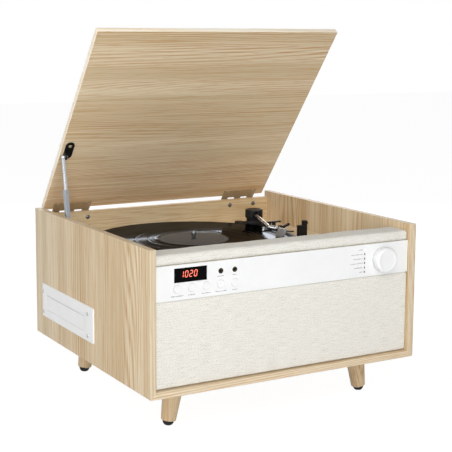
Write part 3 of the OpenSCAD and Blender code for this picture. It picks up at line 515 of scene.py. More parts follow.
cloth = oatmeal_cloth("oatmeal cloth")
rail_gap, end_round, corner_round, stations = 0.5, 4.5, 5, 60
rail_depth, rail_high = rail_rear - front_y, rail_hi - rail_lo
at, insets = eased(-inner_x + rail_gap, inner_x - rail_gap, end_round)
at = np.r_[at[:5], np.linspace(at[4], at[5], stations)[1:-1], at[5:]]
insets = np.r_[insets[:5], np.zeros(stations - 2), insets[5:]]
corner = np.array([
    outline(rail_depth - 2 * d, rail_high - d, corner_round - d * 0.9, 10) for d in insets
])
corner[..., 1] -= insets[:, None] / 2
# The lower front corner keeps its depth, and is cut off level with the rail's underside.
low_front = (corner[..., 0] < 0) & (corner[..., 1] < 0)
square_off = np.stack([corner[..., 0], np.maximum(corner[..., 1], -rail_high / 2)], -1)
corner[low_front] = square_off[low_front]
mid = ((front_y + rail_rear) / 2, (rail_lo + rail_hi) / 2)
rail_rings = stand(corner, at, 0, mid)
# The padding swells a little along its top, by two slow sines, and stays below the rail's height.
swell = 0.25 * np.sin(rail_rings[..., 0] / 17 + 1.3) + 0.15 * np.sin(rail_rings[..., 0] / 7.1)
rail_rings[..., 2] += np.where(corner[..., 1] > 3, swell - 0.3, 0)
rail = make("rail_padding", [skin(rail_rings)], cloth, "cabinet", 60)
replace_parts(rail, "top_rail")

# ---- baffle and grille ----
# The grille is a thin frame with the same oatmeal cloth stretched over it and turned in behind.
# The baffle board behind it carries the loudspeakers.
grille_lo, grille_hi = 65.2, 175.4
mdf = mottled("baffle board", (178, 156, 124), 0.8,
              {"Scale": 260.0, "Detail": 6.0, "Roughness": 0.7},
              (0.35, (158, 136, 104)), (0.65, (192, 171, 138)), relief=(0.0002, 0.3))
dress(mdf, "baffle_board")
grille_mid = (0, (grille_lo + grille_hi) / 2)
grille_w, grille_h = 2 * inner_x - 1, grille_hi - grille_lo
bars = plate(1, grille_mid, (grille_w - 3, grille_h - 3), 3, front_y + 0.9, baffle_y - 0.7, 0.8)
grille_frame = make("grille_frame", [bars], mdf, "cabinet")
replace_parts(grille_frame, "grille_panel")
# The cloth starts turned in behind, comes round the frame's edge and runs over its front: insets
# from the frame's outline, and the place of each across the panel.
cloth_round = 2.4
a = np.linspace(0, pi / 2, 7)
turn_in = np.r_[10, 5, 1.0, 0.3, np.zeros(3), cloth_round * (1 - np.cos(a)), 8, 20]
turn_y = np.r_[[baffle_y - 0.1] * 3, baffle_y - 0.4,
               np.linspace(baffle_y - 0.8, front_y + cloth_round, 3),
               front_y + cloth_round * (1 - np.sin(a)), front_y, front_y]
flat = [outline(grille_w - 2 * d, grille_h - 2 * d, max(4 - d, 1), 8) for d in turn_in]
stretched = skin(stand(np.array(flat), turn_y, 1, grille_mid), open_start=True)
front = make("grille_cloth", [stretched], cloth, "cabinet", 60)
cloth_wall = front.modifiers.new("cloth thickness", "SOLIDIFY")
cloth_wall.thickness, cloth_wall.offset = 0.0005, -1

# ---- fascia, display and marks ----
# The control fascia is one white moulding with a fine grain. A smoked window shows four red
# figures, made of straight bars, and short grey dashes stand where the labels are printed.
face_y, circuit_y = front_y, -167


def moulded(name, shade, rough, fleck=4, **own):
    """A plastic moulding: fine grain in the relief, and a faint unevenness of colour and gloss."""
    m = shader(name, shade, rough, **own)
    grain = node(m, "TexNoise", {"Scale": 2400.0, "Detail": 2.0}).outputs[0]
    cloud = node(m, "TexNoise", {"Scale": 35.0, "Detail": 3.0}).outputs[0]
    low = tuple(max(part - fleck, 0) for part in shade)
    tone = ramp_of(m, cloud, (0.35, low), (0.65, shade))
    shine = {0: cloud, 1: 0.3, 2: 0.7, 3: rough - 0.05, 4: rough + 0.05}
    matt = node(m, "MapRange", shine).outputs[0]
    place = node(m, "TexCoord").outputs["Object"]
    for texture in (grain.node, cloud.node):
        m.node_tree.links.new(place, texture.inputs["Vector"])
    return finish_of(m, tone, matt, grain, 0.00004, 0.5)


white = moulded("white moulding", (240, 241, 241), 0.42, 3)
black = moulded("black moulding", (21, 21, 22), 0.5, 4, Specular_IOR_Level=0.3)
dress(white, "control_fascia")
smoked = shader("smoked window", (8, 4, 5), 0.12, Specular_IOR_Level=0.06)
smear = node(smoked, "TexNoise", {"Scale": 60.0, "Detail": 4.0}).outputs[0]
finish_of(smoked, None, node(smoked, "MapRange", {0: smear, 3: 0.08, 4: 0.2}).outputs[0])
display_mid, display_size = (-145.4, 206.8), (46.0, 18.0)
window = make(
    "display_window",
    [
        plate(1, display_mid, display_size, 0.5, face_y + 0.3, face_y + 3, 0.3),
        plate(1, display_mid, (40, 14), 0.5, face_y + 2.9, circuit_y, 0.3),
    ],
    smoked, "cabinet",
)
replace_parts(window, "display_module")


def glowing(name, shade, strength):
    """A lit part: its colour shines by itself, and noise makes it a little uneven."""
    darker = tuple(part * 0.8 for part in shade)
    return mottled(name, shade, 0.4, {"Scale": 700.0, "Detail": 1.0}, (0.3, darker), (0.6, shade),
                   Emission_Color=(*srgb(*shade), 1), Emission_Strength=strength)


red = glowing("red figures", (255, 122, 102), 0.95)
unlit = mottled("unlit figures", (26, 9, 9), 0.35, {"Scale": 900.0},
                (0.3, (22, 7, 7)), (0.7, (31, 11, 11)), Specular_IOR_Level=0.1)


def bar(x, z, length, upright, lo, hi):
    """One bar of a figure: a hexagon whose long side is the length, 0.9 mm wide, leaning right."""
    wide, slant = 0.45, 0.14
    end, neck = length / 2, length / 2 - wide
    long_way = np.array([-end, -neck, neck, end, neck, -neck])
    short_way = np.array([0, -wide, -wide, 0, wide, wide])
    u, v = (short_way, long_way) if upright else (long_way, short_way)
    flat = np.stack([x + u + slant * (z + v - display_mid[1]), z + v], -1)
    return skin(stand(np.array([flat, flat]), (lo, hi), 1, (0, 0)))


# A bar's place is its side, its level and whether it stands upright; a figure lists its lit bars.
figure_w, figure_h, figure_step, bar_gap = 3.6, 7.6, 6.4, 0.3
figures_mid = (display_mid[0] - 2.5, display_mid[1] + 1)
places = [(0, 1, False), (0, 0, False), (0, -1, False),
          (-1, 1, True), (1, 1, True), (-1, -1, True), (1, -1, True)]
lit_bars = {"0": (0, 2, 3, 4, 5, 6), "1": (4, 6), "2": (0, 1, 2, 4, 5)}
lit, dark_bars = [], []
for place, figure in enumerate("1020"):
    x0 = figures_mid[0] + (place - 1.5) * figure_step
    for number, (sx, sz, upright) in enumerate(places):
        on = number in lit_bars[figure]
        x = x0 + (sx * figure_w / 2 if upright else 0)
        z = figures_mid[1] + (sz * figure_h / 4 if upright else sz * figure_h / 2)
        length = figure_h / 2 - bar_gap if upright else figure_w - bar_gap
        shape = bar(x, z, length, upright, face_y + 0.22, face_y + 0.34)
        (lit if on else dark_bars).append(shape)
make("display_figures", lit, red, "cabinet")
make("display_unlit_bars", dark_bars, unlit, "cabinet")

print_grey = moulded("printed grey", (150, 152, 154), 0.6, 20)
button_x, button_z = (-164.2, -144, -123, -102.4, -82), 190.0
jack_x, jack_z, light_x, light_top, light_step = button_x[3:], 206.8, 122, 213.15, 6.1
# Rows of dashes: their place, how wide a row is, and whether it ends at its place or is centred.
rows = [(x, button_z - 9.2, w, 0) for x, w in zip(button_x, (16.5, 10, 12.5, 16, 7))]
rows += [(x, jack_z - 6.6, w, 0) for x, w in zip(jack_x, (9.5, 5.5))]
rows += [(light_x - 3.4, light_top - i * light_step, w, 1)
         for i, w in enumerate((7, 19, 15, 20, 13.5, 5))]
dash_high, dash_taller, dash_gap, dash_least = 0.75, 1.1, 0.45, 0.7
chance = np.random.default_rng(7)
dashes = []
for x, z, width, to_left in rows:
    start = x - width if to_left else x - width / 2
    while width > dash_least:
        step = min(chance.uniform(0.9, 2.1), width)
        tall = chance.choice([dash_high, dash_high, dash_taller])
        spot = (start + step / 2, z + (tall - dash_high) / 2)
        dashes.append(plate(1, spot, (step, tall), 0.2, face_y - 0.03, face_y + 0.05, 0.01, 2))
        start, width = start + step + dash_gap, width - step - dash_gap
make("printed_dashes", dashes, print_grey, "cabinet")


# ---- push buttons, jacks, source lights and knob ----
# Five round push buttons with a shallow dish, two jacks, a column of six small lights, of which the
# top one is lit, and a large knob with a rounded rim.
def turned(profile, mid, axis=2, steps=56, loop=False):
    """Carries a profile of (radius, place along the axis) round the axis, as circles."""
    r, t = np.asarray(profile, float).T
    a = np.linspace(0, 2 * pi, steps, endpoint=False)
    flat = np.stack([r[:, None] * np.cos(a), r[:, None] * np.sin(a)], -1)
    return skin(stand(flat, t, axis, mid), loop)


# Profiles are pairs of a radius and a place behind the fascia's face.
dish = [(0.3, -0.45), (2.5, -0.5), (4.3, -0.72), (4.7, -0.8), (4.95, -0.76), (5.1, -0.6),
        (5.15, -0.3), (5.15, 3.1), (6.2, 3.1), (6.2, 4.2), (2, 4.2), (2, 12.3)]
for number, x in enumerate(button_x, 1):
    shape = turned(np.array(dish) + [0, face_y], (x, button_z), 1)
    button = make(f"button_cap_{number}", [shape], white, f"button_{number}")
    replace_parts(button, f"front_button_{number}")

brass = mottled("brass", (196, 168, 108), 0.3, {"Scale": 400.0, "Detail": 3.0},
                (0.35, (178, 148, 90)), (0.65, (206, 180, 120)), relief=(0.00005,), Metallic=1.0)
# Each jack has a collar, a lined bore, and a square block that sits a little above its middle.
bore_r, bore_end, block_size, block_rise = 2.05, -170, (8.4, 8.4), 0.7
collar = [(1.9, -0.1), (2.3, -0.3), (3.1, -0.3), (3.4, -0.05), (3.4, 4.1), (1.9, 4.1)]
sleeve = [(1.8, 0.3), (bore_r, 0.3), (bore_r, 13.6), (1.8, 13.6)]
jacks = [turned(np.array(collar) + [0, face_y], (x, jack_z), 1, 48, True) for x in jack_x]
jacks += [
    plate(1, (x, jack_z + block_rise), block_size, 1, face_y + 4, circuit_y - 0.05, 0.4)
    for x in jack_x
]
jack_block = make("jack_collars", jacks, black, "cabinet")
bore = [(bore_r, face_y - 1), (bore_r, bore_end)]
carve(jack_block, [turned(bore, (x, jack_z), 1, 32) for x in jack_x])
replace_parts(jack_block, "front_jacks")
lining = [turned(np.array(sleeve) + [0, face_y], (x, jack_z), 1, 32, True) for x in jack_x]
make("jack_linings", lining, brass, "cabinet")

pipe_grey = moulded("dark light pipe", (92, 94, 96), 0.35, 20)
pipe_lit = glowing("lit light pipe", (236, 240, 244), 0.35)
pipe_size, pipe_z = (1.7, 2.7), [light_top - i * light_step for i in range(6)]
pipes = [
    plate(1, (light_x, z), pipe_size, 0.3, face_y - 0.1, circuit_y, 0.2, 3) for z in pipe_z
]
unlit_pipes = make("source_light_pipes", pipes[1:], pipe_grey, "cabinet")
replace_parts(unlit_pipes, "source_lights")
make("source_light_lit", pipes[:1], pipe_lit, "cabinet")

knob_mid, rim_round = (151.2, 197.9), 2.6
a = np.linspace(0, pi / 2, 9)
rim = np.c_[14.4 + rim_round * np.cos(a), -11.2 - rim_round * np.sin(a)]
body = [(3, 16), (3, -0.8), (15.6, -0.8), (16.3, -1.1), (16.6, -1.9), (16.75, -3), (17, -3.4)]
face = [(13.2, -13.8), (12.6, -13.6), (11, -13.45), (6, -13.35), (0.3, -13.3)]
profile = np.r_[body, rim, face] + [0, face_y]
knob = make("knob_cap", [turned(profile, knob_mid, 1, 96)], white, "knob")
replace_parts(knob, "control_knob")

# ---- side bezels, disc drawer and cassette flap ----
# A white bezel with two slotted screws at each end frames each bay. The disc drawer's front is
# flush with the left bezel; the cassette flap hangs behind the right one.
bezel_mid, bezel_size, bezel_t = (68.5, 111), (184, 49), 2
drawer_mid, slot_size = (76.3, 108.8), (138.5, 21.5)
flap_mid, flap_slot = (76.3, 111), (109.2, 20)


def frame_plate(axis, mid, size, radius, hole_mid, hole_size, lo, hi, edge):
    """A plate with one opening: an outline runs up the outside, over a quarter round, in to the
    opening's own outline, and back down, as one closed loop of rings."""
    at, insets = eased(lo, hi, edge)
    outside = [outline(size[0] - 2 * d, size[1] - 2 * d, radius, 6) for d in insets]
    shift = np.subtract(hole_mid, mid)
    hole_w, hole_h = hole_size
    inside = [outline(hole_w + 2 * d, hole_h + 2 * d, 0.6 + d, 6) + shift for d in insets[::-1]]
    return skin(stand(np.array(outside + inside), np.r_[at, at[::-1]], axis, mid), True)


for side, name, node_name, hole in ((-1, "disc_bezel", "cd_bezel", (drawer_mid, slot_size)),
                                    (1, "tape_bezel", "cassette_bezel", (flap_mid, flap_slot))):
    lo, hi = sorted((side * half_w, side * (half_w + bezel_t)))
    shape = frame_plate(0, bezel_mid, bezel_size, 2, *hole, lo, hi, 0.45)
    bezel = make(name, [shape], white, "cabinet")
    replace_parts(bezel, node_name)
dress(white, "cd_drawer", "cassette_door")

steel = mottled("polished steel", (182, 185, 189), 0.26, {"Scale": 300.0, "Detail": 4.0},
                (0.3, (177, 180, 184)), (0.7, (187, 190, 194)), matt=(0.24, 0.29), Metallic=1.0)


def screw_head(radius, rise, mid, axis, base, way, shank):
    """A domed head on its shank: the dome's radius goes by the cosine and its rise by the sine."""
    shank_r = 1.2
    a = np.linspace(0, pi / 2 - 0.06, 8)
    dome = np.c_[radius * np.cos(a), base + way * rise * np.sin(a)]
    return turned(np.r_[[(shank_r, base - way * shank), (shank_r, base)], dome], mid, axis, 32)


heads, slots = [], []
for side in (-1, 1):
    face = side * (half_w + bezel_t)
    for y in (155.5, -4.5):
        for z in (93.5, 124.2):
            heads.append(screw_head(2.8, 0.9, (y, z), 0, face, side, 8))
            lo, hi = sorted((face + side * 0.35, face + side * 2))
            slots.append(plate(0, (y, z), (6.5, 0.7), 0.1, lo, hi, 0.01, 2))
screws = carve(make("bezel_screw_heads", heads, steel, "cabinet"), slots)
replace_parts(screws, "bezel_screws")

# ---- platter, mat, record and spindle ----
# A pressed platter carries a felt mat and a long-playing record. The record has a raised rim and
# label, a run of fine grooves with quiet gaps between the pieces of music, and a plain grey label.
axle, record_z = (-31, 18), 209


def round_place(m):
    """The distance from the spindle, from the object's place."""
    place = node(m, "TexCoord").outputs["Object"]
    to_axle = (-axle[0] / 1000, -axle[1] / 1000, 0)
    moved = node(m, "Mapping", {"Vector": place, "Location": to_axle}).outputs[0]
    flat_on = node(m, "VectorMath", {0: moved, 1: (1, 1, 0)}, operation="MULTIPLY").outputs[0]
    return node(m, "VectorMath", {0: flat_on}, operation="LENGTH").outputs["Value"], moved


# The relief has grooves 0.6 mm apart. Beyond a radius of 60 mm the shade varies from one piece of
# music to the next, and within it the shade is even.
groove_step, rate = 0.0006, 260.0
vinyl = shader("record vinyl", (50, 50, 52), 0.1, Specular_Tint=(0.325, 0.335, 0.352, 1))
away = round_place(vinyl)[0]
grooved = node(vinyl, "MapRange", {0: away, 1: 0.0595, 2: 0.0605, 3: 0.97, 4: 1.0}).outputs[0]
vinyl.node_tree.links.new(grooved, vinyl.node_tree.nodes["Principled BSDF"].inputs["Metallic"])
along = {"W": sum_of(vinyl, "MULTIPLY", away, rate), "Scale": 1.0, "Detail": 5.0, "Roughness": 0.75}
tracks = node(vinyl, "TexNoise", along, noise_dimensions="1D").outputs[0]
groove = sum_of(vinyl, "SINE", sum_of(vinyl, "MULTIPLY", away, 2 * pi / groove_step))
groove = sum_of(vinyl, "MULTIPLY", groove, 0.5)
groove = sum_of(vinyl, "ADD", groove, sum_of(vinyl, "MULTIPLY", tracks, 1.5))
dark = ramp_of(vinyl, tracks, (0.35, (40, 40, 42)), (0.65, (62, 62, 64)))
gloss = node(vinyl, "MapRange", {0: tracks, 1: 0.35, 2: 0.65, 3: 0.03, 4: 0.12}).outputs[0]
finish_of(vinyl, blend_of(vinyl, grooved, (44, 44, 46), dark), gloss, groove, 0.00001, 0.1)
gaps = np.array([66, 84, 103, 121, 138])
r = np.linspace(60, 145, 86)
sunk = 0.22 - 0.16 * np.exp(-(((r[:, None] - gaps) / 0.9) ** 2)).sum(1)
grooves = np.c_[r, record_z - sunk][::-1]
rim = np.array([(150.4, -1.6), (150.8, -1.2), (150.8, -0.5), (150.5, -0.15), (150, 0), (149, -0.02),
                (147.6, -0.2)]) + [0, record_z]
centre = np.array([(56, -0.3), (52, -0.28), (50.6, 0), (3.65, 0), (3.65, -1.6)]) + [0, record_z]
shape = turned(np.r_[rim, grooves, centre], axle, 2, 180, True)
record = make("record_disc", [shape], vinyl, "turntable", 20)
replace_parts(record, "vinyl_record")

# The label has one thin pale ring, 45.5 mm from the spindle.
label_paper = shader("record label", (80, 79, 78), 0.6, Specular_IOR_Level=0.3)
away, moved = round_place(label_paper)
fibre = node(label_paper, "TexNoise", {"Vector": moved, "Scale": 900.0, "Detail": 3.0}).outputs[0]
off_ring = sum_of(label_paper, "ABSOLUTE", sum_of(label_paper, "SUBTRACT", away, 0.0455))
ring_share = {0: off_ring, 1: 0.0003, 2: 0.0006, 3: 0.5, 4: 0.0}
on_ring = node(label_paper, "MapRange", ring_share).outputs[0]
tone = ramp_of(label_paper, fibre, (0.35, (74, 73, 72)), (0.65, (86, 85, 84)))
finish_of(label_paper, blend_of(label_paper, on_ring, tone, (128, 125, 121)), None, fibre, 0.00003)
paper_ring = [(3.7, -0.2), (49.8, -0.2), (50, 0.05), (49.7, 0.12), (3.7, 0.12)]
shape = turned(np.array(paper_ring) + [0, record_z], axle, 2, 128, True)
make("record_label", [shape], label_paper, "turntable", 20)

felt = mottled("mat felt", (42, 42, 43), 0.95, {"Scale": 1300.0, "Detail": 4.0, "Roughness": 0.8},
               (0.35, (32, 32, 33)), (0.65, (56, 56, 57)), relief=(0.0004, 0.7), Sheen_Weight=0.3)
dress(felt, "slip_mat")
cast = mottled("platter paint", (52, 52, 53), 0.4, {"Scale": 1500.0, "Detail": 2.0},
               (0.4, (44, 44, 45)), (0.6, (60, 60, 61)), relief=(0.00008,), Metallic=0.3)
dress(cast, "platter")
# The spindle has a collar under the mat, a waist in the record's hole, and a rounded tip.
tip = [(3.6, 171), (3.6, 195.9), (8, 195.9), (8, 196.4), (3.6, 196.4), (3.6, 208.4), (2.7, 208.8),
       (2.7, 213), (3.6, 213.5), (3.6, 217.6), (3.35, 218.8), (2.9, 219.9), (2.2, 221),
       (1.4, 221.7), (0.3, 222)]
dark_steel = mottled("darkened steel", (104, 106, 110), 0.28, {"Scale": 500.0, "Detail": 3.0},
                     (0.35, (92, 94, 98)), (0.65, (116, 118, 122)), matt=(0.22, 0.36), Metallic=1.0)
pin = make("spindle_pin", [turned(tip, axle, 2, 48)], dark_steel, "turntable")
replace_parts(pin, "spindle")

# ---- tonearm ----
# A black cap turns on a stepped base and holds the arm's yoke. A polished tube with a bend carries
# a ridged coupling. The pressed headshell curls down to the cartridge and has a thin finger lift.
pivot, arm_z, arm_turn, tube_r = (128, 112), 220, radians(-111), 2.5
tube_len, bend, bend_len = 124, radians(28), 31.4
shell_turn, shell_dip, shell_len = radians(-22), radians(6.5), 36.3


def about(points, turn, dip=0.0):
    """Dips points about the Y axis, then turns them about the Z axis."""
    x, y, z = np.moveaxis(points, -1, 0)
    x, z = x * cos(dip) + z * sin(dip), z * cos(dip) - x * sin(dip)
    return np.stack([x * cos(turn) - y * sin(turn), x * sin(turn) + y * cos(turn), z], -1)


def on_arm(shell):
    """Moves a shape drawn along the arm, X from the pivot, to the pivot's place and heading."""
    return about(shell[0], arm_turn) + [*pivot, arm_z], shell[1]


def on_bend(shell):
    """Moves a shape drawn along the bend, X from the tube's end, on to the arm."""
    return on_arm((about(shell[0], bend) + [tube_len, 0, 0], shell[1]))


def on_shell(shell):
    """Moves a shape drawn along the headshell, X from its rear end, on to the arm."""
    elbow = [tube_len + bend_len * cos(bend), bend_len * sin(bend), 0]
    return on_arm((about(shell[0], shell_turn, shell_dip) + elbow, shell[1]))


def tube(path, radius, steps=24):
    """Carries circles along a path; each lies across the path's direction, from its differences."""
    path = np.asarray(path, float)
    way = np.gradient(path, axis=0)
    way /= np.linalg.norm(way, axis=1)[:, None]
    side = np.cross(way, [0, 0, 1])
    side /= np.linalg.norm(side, axis=1)[:, None]
    over = np.cross(side, way)
    a = np.linspace(0, 2 * pi, steps, endpoint=False)[None, :, None]
    radius = np.broadcast_to(np.asarray(radius, float), len(path))[:, None, None]
    return skin(path[:, None] + radius * (np.cos(a) * side[:, None] + np.sin(a) * over[:, None]))


dress(black, "tonearm_base", "armrest", "speed_lever", "cartridge")
a, cap_round = np.linspace(0, pi / 2, 7), 1.6
soft_edge = np.c_[12.2 + cap_round * np.cos(a), 225.6 + cap_round * np.sin(a)]
cap_top = [(11, 227.15), (10.4, 226.8), (0.3, 226.8)]
profile = np.r_[[(13.2, 214.2), (13.8, 214.8)], soft_edge, cap_top]
stalk = turned([(4, 196.5), (4, 214.5)], pivot, 2, 32)
cap = make("arm_cap", [turned(profile, pivot, 2, 72), stalk], black, "arm_pivot")
carve(cap, [on_arm(plate(2, (4.9, 0), (21.8, 6.8), 0.3, -4, 5.2, 0.1))])
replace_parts(cap, "pivot_housing")

s = np.linspace(0, 1, 9)
knee = np.c_[tube_len - 6 + 8.5 * s, 2.2 * s**2, 0 * s]
path = np.r_[np.c_[np.linspace(7, tube_len - 8, 24), np.zeros((24, 2))], knee]
ridge = 3.35 + 0.35 * (np.arange(17) % 2)
length = np.r_[0.6, 0.9, np.linspace(1.4, 16.4, 17), 17, 17.6, 27.9]
grip = turned(np.c_[np.r_[2.6, 3.3, ridge, 3.3, 2.7, 2.7], length], (0, 0), 0, 40)
yoke = plate(0, (0, 0), (6, 6.4), 1, -4, 8, 0.6)
pins = turned([(1.5, -8), (1.5, 8)], (0, 0), 1, 24)
parts = [on_arm(tube(path, tube_r, 32)), on_bend(grip), on_arm(yoke), on_arm(pins)]
rod = make("arm_tube", parts, [steel, black], "tonearm")
# The yoke and its pins, within 11 mm of the pivot, are black.
near = np.hypot(*(of_faces(rod, "center")[:, :2] * 1000 - pivot).T) < 11
paint(rod, near)
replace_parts(rod, "tonearm_tube")

grey_metal = mottled("satin grey metal", (112, 113, 116), 0.46, {"Scale": 700.0, "Detail": 3.0},
                     (0.35, (102, 104, 107)), (0.65, (122, 123, 126)), matt=(0.3, 0.46),
                     relief=(0.00004,), Metallic=0.5)
# The headshell is a grid: along its length it widens and thins by tables, and across it its height
# is a low power of the sine, over a flat underside.
along_count, over_count, under_count = 30, 19, 13
t = np.linspace(0, 1, along_count)
shell_at = [0, 3, 5, 14, 26.3, 32, 34.6, shell_len]
half = np.interp(t * shell_len, shell_at, [4.6, 6.2, 6.8, 6.7, 6.4, 5.8, 5.2, 3.6])
crown = 3 - 2 * t * t - np.interp(t, [0.93, 1], [0, 0.5]) - np.interp(t, [0, 0.06], [0.6, 0])
a = np.linspace(0, pi, over_count)
over_x = np.repeat(t * shell_len, over_count).reshape(along_count, over_count)
over_y = half[:, None] * np.cos(a)
over_z = 0.5 + (crown[:, None] - 0.5) * np.sin(a) ** 0.45
under_x = np.repeat(t * shell_len, under_count).reshape(along_count, under_count)
under_y = half[:, None] * np.linspace(-1, 1, under_count)
under = np.stack([under_x, under_y, np.zeros((along_count, under_count))], -1)
pressed = skin(np.concatenate([np.stack([over_x, over_y, over_z], -1), under], 1))
stem = turned([(2.6, -0.5), (3, 0), (3, 6)], (0, 0), 0, 24)
stub = turned([(2.7, 27.6), (2.7, bend_len + 1.2)], (0, 0), 0, 24)
parts = [on_shell(pressed), on_shell(stem), on_bend(stub)]
shell = make("arm_shell", parts, grey_metal, "tonearm")
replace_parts(shell, "headshell")
s = np.linspace(0, 1, 16)
lift = np.c_[7.6 + 4.6 * s, 5.6 + 11.8 * s, 1.2 + 0.2 * s + 0.9 * s**3]
make("finger_lift", [on_shell(tube(lift, 0.75 + 0.35 * s, 16))], black, "tonearm")

# ---- cueing lever ----
# A small black lever beside the arm turns on a pin and lifts the arm off the record.
hub, reach_len, rise_turn = (140, 206), 12.5, radians(20)
s = np.linspace(0, 1, 14)
lever_x = hub[0] + 2 + reach_len * cos(rise_turn) * s
lever_z = hub[1] + 0.7 + reach_len * sin(rise_turn) * s
wide = np.interp(s, [0, 0.7, 0.86, 1], [2.1, 1.9, 2.4, 1.7])
wheel = [(1.6, 46.6), (3.0, 46.6), (3.4, 47), (3.4, 53.2), (3.0, 53.6), (1.6, 53.6)]
drum = turned(wheel, hub, 1, 36, True)
lever = tube(np.c_[lever_x, 50 + 0 * s, lever_z], wide, 20)
handle = make("cue_handle", [drum, lever], black, "cue")
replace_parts(handle, "cue_lever")

# ---- lid ----
# One board in the same veneer, grain from side to side, with a paler band on its four edges. It
# stands open on two hinges behind the cabinet's back panel.
lid_open, lid_axis = radians(52), (192.8, 230.5)
lid_rear, lid_long, lid_rise, lid_t, lid_w = -6.3, 336, 4.5, 8, 384


def leant(shell, mid, turn):
    """Turns a shape about an X axis through a place (Y, Z): Y leans up by the turn."""
    x, y, z = np.moveaxis(shell[0], -1, 0)
    rise = mid[1] + y * sin(turn) + z * cos(turn)
    return np.stack([x, mid[0] + y * cos(turn) - z * sin(turn), rise], -1), shell[1]


def on_lid(shell):
    """Turns a shape drawn for the closed lid about the hinge's axis, to where the lid is open."""
    return leant(shell, lid_axis, -lid_open)


# The lid's tone carries painted light: lighter at its foot, which lies in shade, and darker at its
# top.
lid_oak = veneer("lid veneer", (lid_open, 0, 0), (236, 219, 188), (219, 200, 165), (195, 147, 94),
                 (0.35, 0.05, 0), painted_light_ramp=(1.1, 0.88))
lid_edge = veneer("lid edge band", (lid_open, 0, 0), (253, 248, 234), (250, 242, 223),
                  (238, 214, 182), (0.1, 0.2, 0))
slab_mid = (0, lid_rear - lid_long / 2)
slab = plate(2, slab_mid, (lid_w, lid_long), 1.2, lid_rise, lid_rise + lid_t, 0.8, 4)
lid = make("lid_board", [on_lid(slab)], [lid_oak, lid_edge], "lid")
flat_share = np.abs(of_faces(lid, "normal") @ np.array([0, sin(lid_open), cos(lid_open)]))
paint(lid, flat_share < 0.8)
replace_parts(lid, "lid")

# ---- hinges ----
# Two bronzed leaf hinges with five knuckles. Three screws hold each leaf under the lid, and two
# domed bolts go through the back panel.
bronze = mottled("dull bronze", (184, 166, 136), 0.45,
                 {"Scale": 500.0, "Detail": 5.0, "Roughness": 0.7},
                 (0.35, (172, 152, 122)), (0.65, (202, 184, 154)), matt=(0.34, 0.52),
                 relief=(0.00005,), Metallic=0.5)
dress(bronze, "lid_hinge_leaves", "back_hinge_leaves")
dress(steel, "hinge_pins")
hinge_x, screw_y, bracket_at = 146.5, lid_rear - 9.7, (-180.6, lid_rear - 131)
leaf_t, flange_t = 1.2, 2.0
heads, slots = [], []
# Each screw's head lies under the sheet that it holds: a hinge leaf, or the stay's bracket.
spots = [(s * hinge_x + d, screw_y, leaf_t) for s in (-1, 1) for d in (-23, 0, 23)]
for x, y, under in [*spots, (*bracket_at, flange_t)]:
    base = lid_rise - under
    heads.append(on_lid(screw_head(2.6, 0.9, (x, y), 2, base, -1, 5.4)))
    for size in ((3.4, 0.6), (0.6, 3.4)):
        slots.append(on_lid(plate(2, (x, y), size, 0.1, base - 2, base - 0.45, 0.01, 2)))
crossed = carve(make("lid_screw_heads", heads, bronze, "lid"), slots)
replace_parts(crossed, "lid_screws")
bolt_z, heads = 224.5, []
for s in (-1, 1):
    for d in (-22, 22):
        spot = (s * hinge_x + d, bolt_z)
        heads.append(screw_head(3.4, 2.2, spot, 1, half_d - board, -1, 12.4))
        heads.append(plate(1, spot, (5.2, 5.2), 1.4, half_d + leaf_t, half_d + 3, 0.3))
bolts = make("hinge_bolt_heads", heads, dark_steel, "cabinet")
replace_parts(bolts, "hinge_bolts")

# ---- lid stay ----
# A black ear under the lid holds a steel blade, which slides in a grey rail folded from sheet. The
# rail turns on a stud that is screwed to the left side.
channel_grey = mottled("zinc channel", (146, 151, 158), 0.34, {"Scale": 250.0, "Detail": 5.0},
                       (0.35, (132, 137, 143)), (0.65, (160, 165, 171)), matt=(0.26, 0.42),
                       relief=(0.00004,), Metallic=0.8)
dress(channel_grey, "stay_base")
foot, ear = np.array([96, 225]), (lid_rear - 116.5, lid_rise - 8)
top_pin = on_lid((np.array([[0, *ear]]), None))[0][0, 1:]
stay_turn, stay_len = np.arctan2(*(top_pin - foot)[::-1]), np.hypot(*(top_pin - foot))
bar_lo, bar_hi, ear_lo, mouth = -192.2, -188.2, -187.2, stay_len - 46.8


def on_stay(shell):
    """Turns a shape drawn along the stay, Y from its lower pivot, to its lean with the lid open."""
    return leant(shell, foot, stay_turn)


# The blade ends in an eye that fits between the rail's walls; a pin runs from it through the ear.
low_end, high_end, wall_in = mouth - 12, stay_len + 2.3, 2.9
blade = plate(0, ((low_end + high_end) / 2, 0), (high_end - low_end, 4.6), 2.2, bar_lo, bar_hi, 0.6)
eye = [(0.3, bar_lo - 0.15), (2.4, bar_lo - 0.15), (2.7, bar_lo + 0.3), (2.7, bar_hi - 0.2),
       (2, bar_hi), (2, -184.9), (3.2, -184.9), (3.2, -184.4), (2.5, -184), (0.3, -183.9)]
parts = [on_stay(blade), on_stay(turned(eye, (stay_len, 0), 0, 40))]
rod = make("stay_blade", parts, steel, "stay_bar")
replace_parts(rod, "stay_bar")
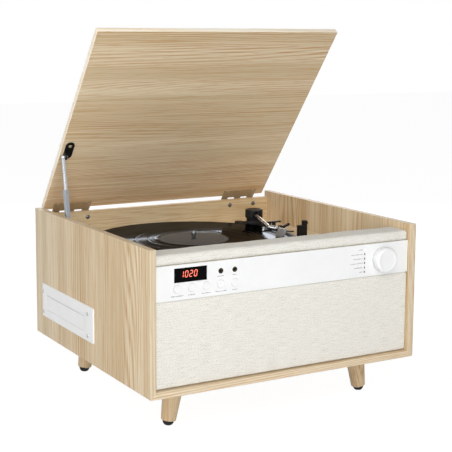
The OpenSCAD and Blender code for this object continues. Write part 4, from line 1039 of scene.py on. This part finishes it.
# The rail's section is a U with its open side to the right; its half width grows at the mouth.
at = np.array([-5, -4.6, mouth - 4.2, mouth - 3.9, mouth - 0.3, mouth])
half = np.array([3.4, 3.8, 3.8, 4.3, 4.3, 4.0])[:, None]
inside = np.full_like(half, wall_in)
u_x = np.array([-187.9, -193.2, -193.7, -193.7, -193.2, -187.9, -187.9, -192.5, -192.5, -187.9])
u_z = np.c_[-half, -half, 0.5 - half, half - 0.5, half, half, inside, inside, -inside, -inside]
section = np.stack([np.broadcast_to(u_x, u_z.shape), u_z], -1)
folded = on_stay(skin(stand(section, at, 1, (0, 0))))
rail_u = make("stay_rail", [folded], channel_grey, "stay_channel")
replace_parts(rail_u, "stay_channel")
flange = plate(2, (-180.6, lid_rear - 122.05), (13.2, 31.1), 6.5, lid_rise - 2, lid_rise, 0.4, 10)
cheek = plate(0, (ear[0], ear[1] + 1.5), (9, 12), 4.4, ear_lo, ear_lo + 2, 0.4, 10)
bracket = make("stay_ear", [on_lid(flange), on_lid(cheek)], black, "lid")
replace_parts(bracket, "stay_bracket")

# ---- electronics, bays and rear ----
# The boards, the power supply and the two mechanisms stand inside on posts. The rear plate holds a
# two-pole mains inlet and two line sockets.
board_black = shader("circuit board", (27, 33, 31), 0.3)
place = node(board_black, "TexCoord").outputs["Object"]
traces = node(board_black, "TexBrick", {
    "Vector": place, "Scale": 90.0, "Mortar Size": 0.06, "Mortar": (*srgb(50, 58, 53), 1),
    "Color1": (*srgb(25, 30, 28), 1), "Color2": (*srgb(31, 37, 34), 1),
})
finish_of(board_black, traces.outputs["Color"], None, traces.outputs["Fac"], 0.00004)
dress(board_black, "main_board", "control_board")
plated = shader("plated case", (124, 127, 130), 0.45, Metallic=0.6)
spangle = node(plated, "TexVoronoi", {"Scale": 160.0}).outputs["Color"]
tone = ramp_of(plated, spangle, (0.2, (108, 111, 114)), (0.8, (140, 143, 146)))
finish_of(plated, tone, None, spangle, 0.00003)
dress(plated, "power_supply", "cd_mechanism", "cassette_mechanism", "drive_motor")
cone_paper = mottled("speaker cone", (46, 46, 48), 0.8, {"Scale": 800.0, "Detail": 5.0},
                     (0.35, (36, 36, 38)), (0.65, (58, 58, 60)), relief=(0.0002,))
dress(cone_paper, "speaker_drivers")
dress(black, "rear_plate", "power_inlet")
dress(brass, "line_out_sockets", "platter_bearing", "motor_pulley")
dress(rubber, "drive_belt")
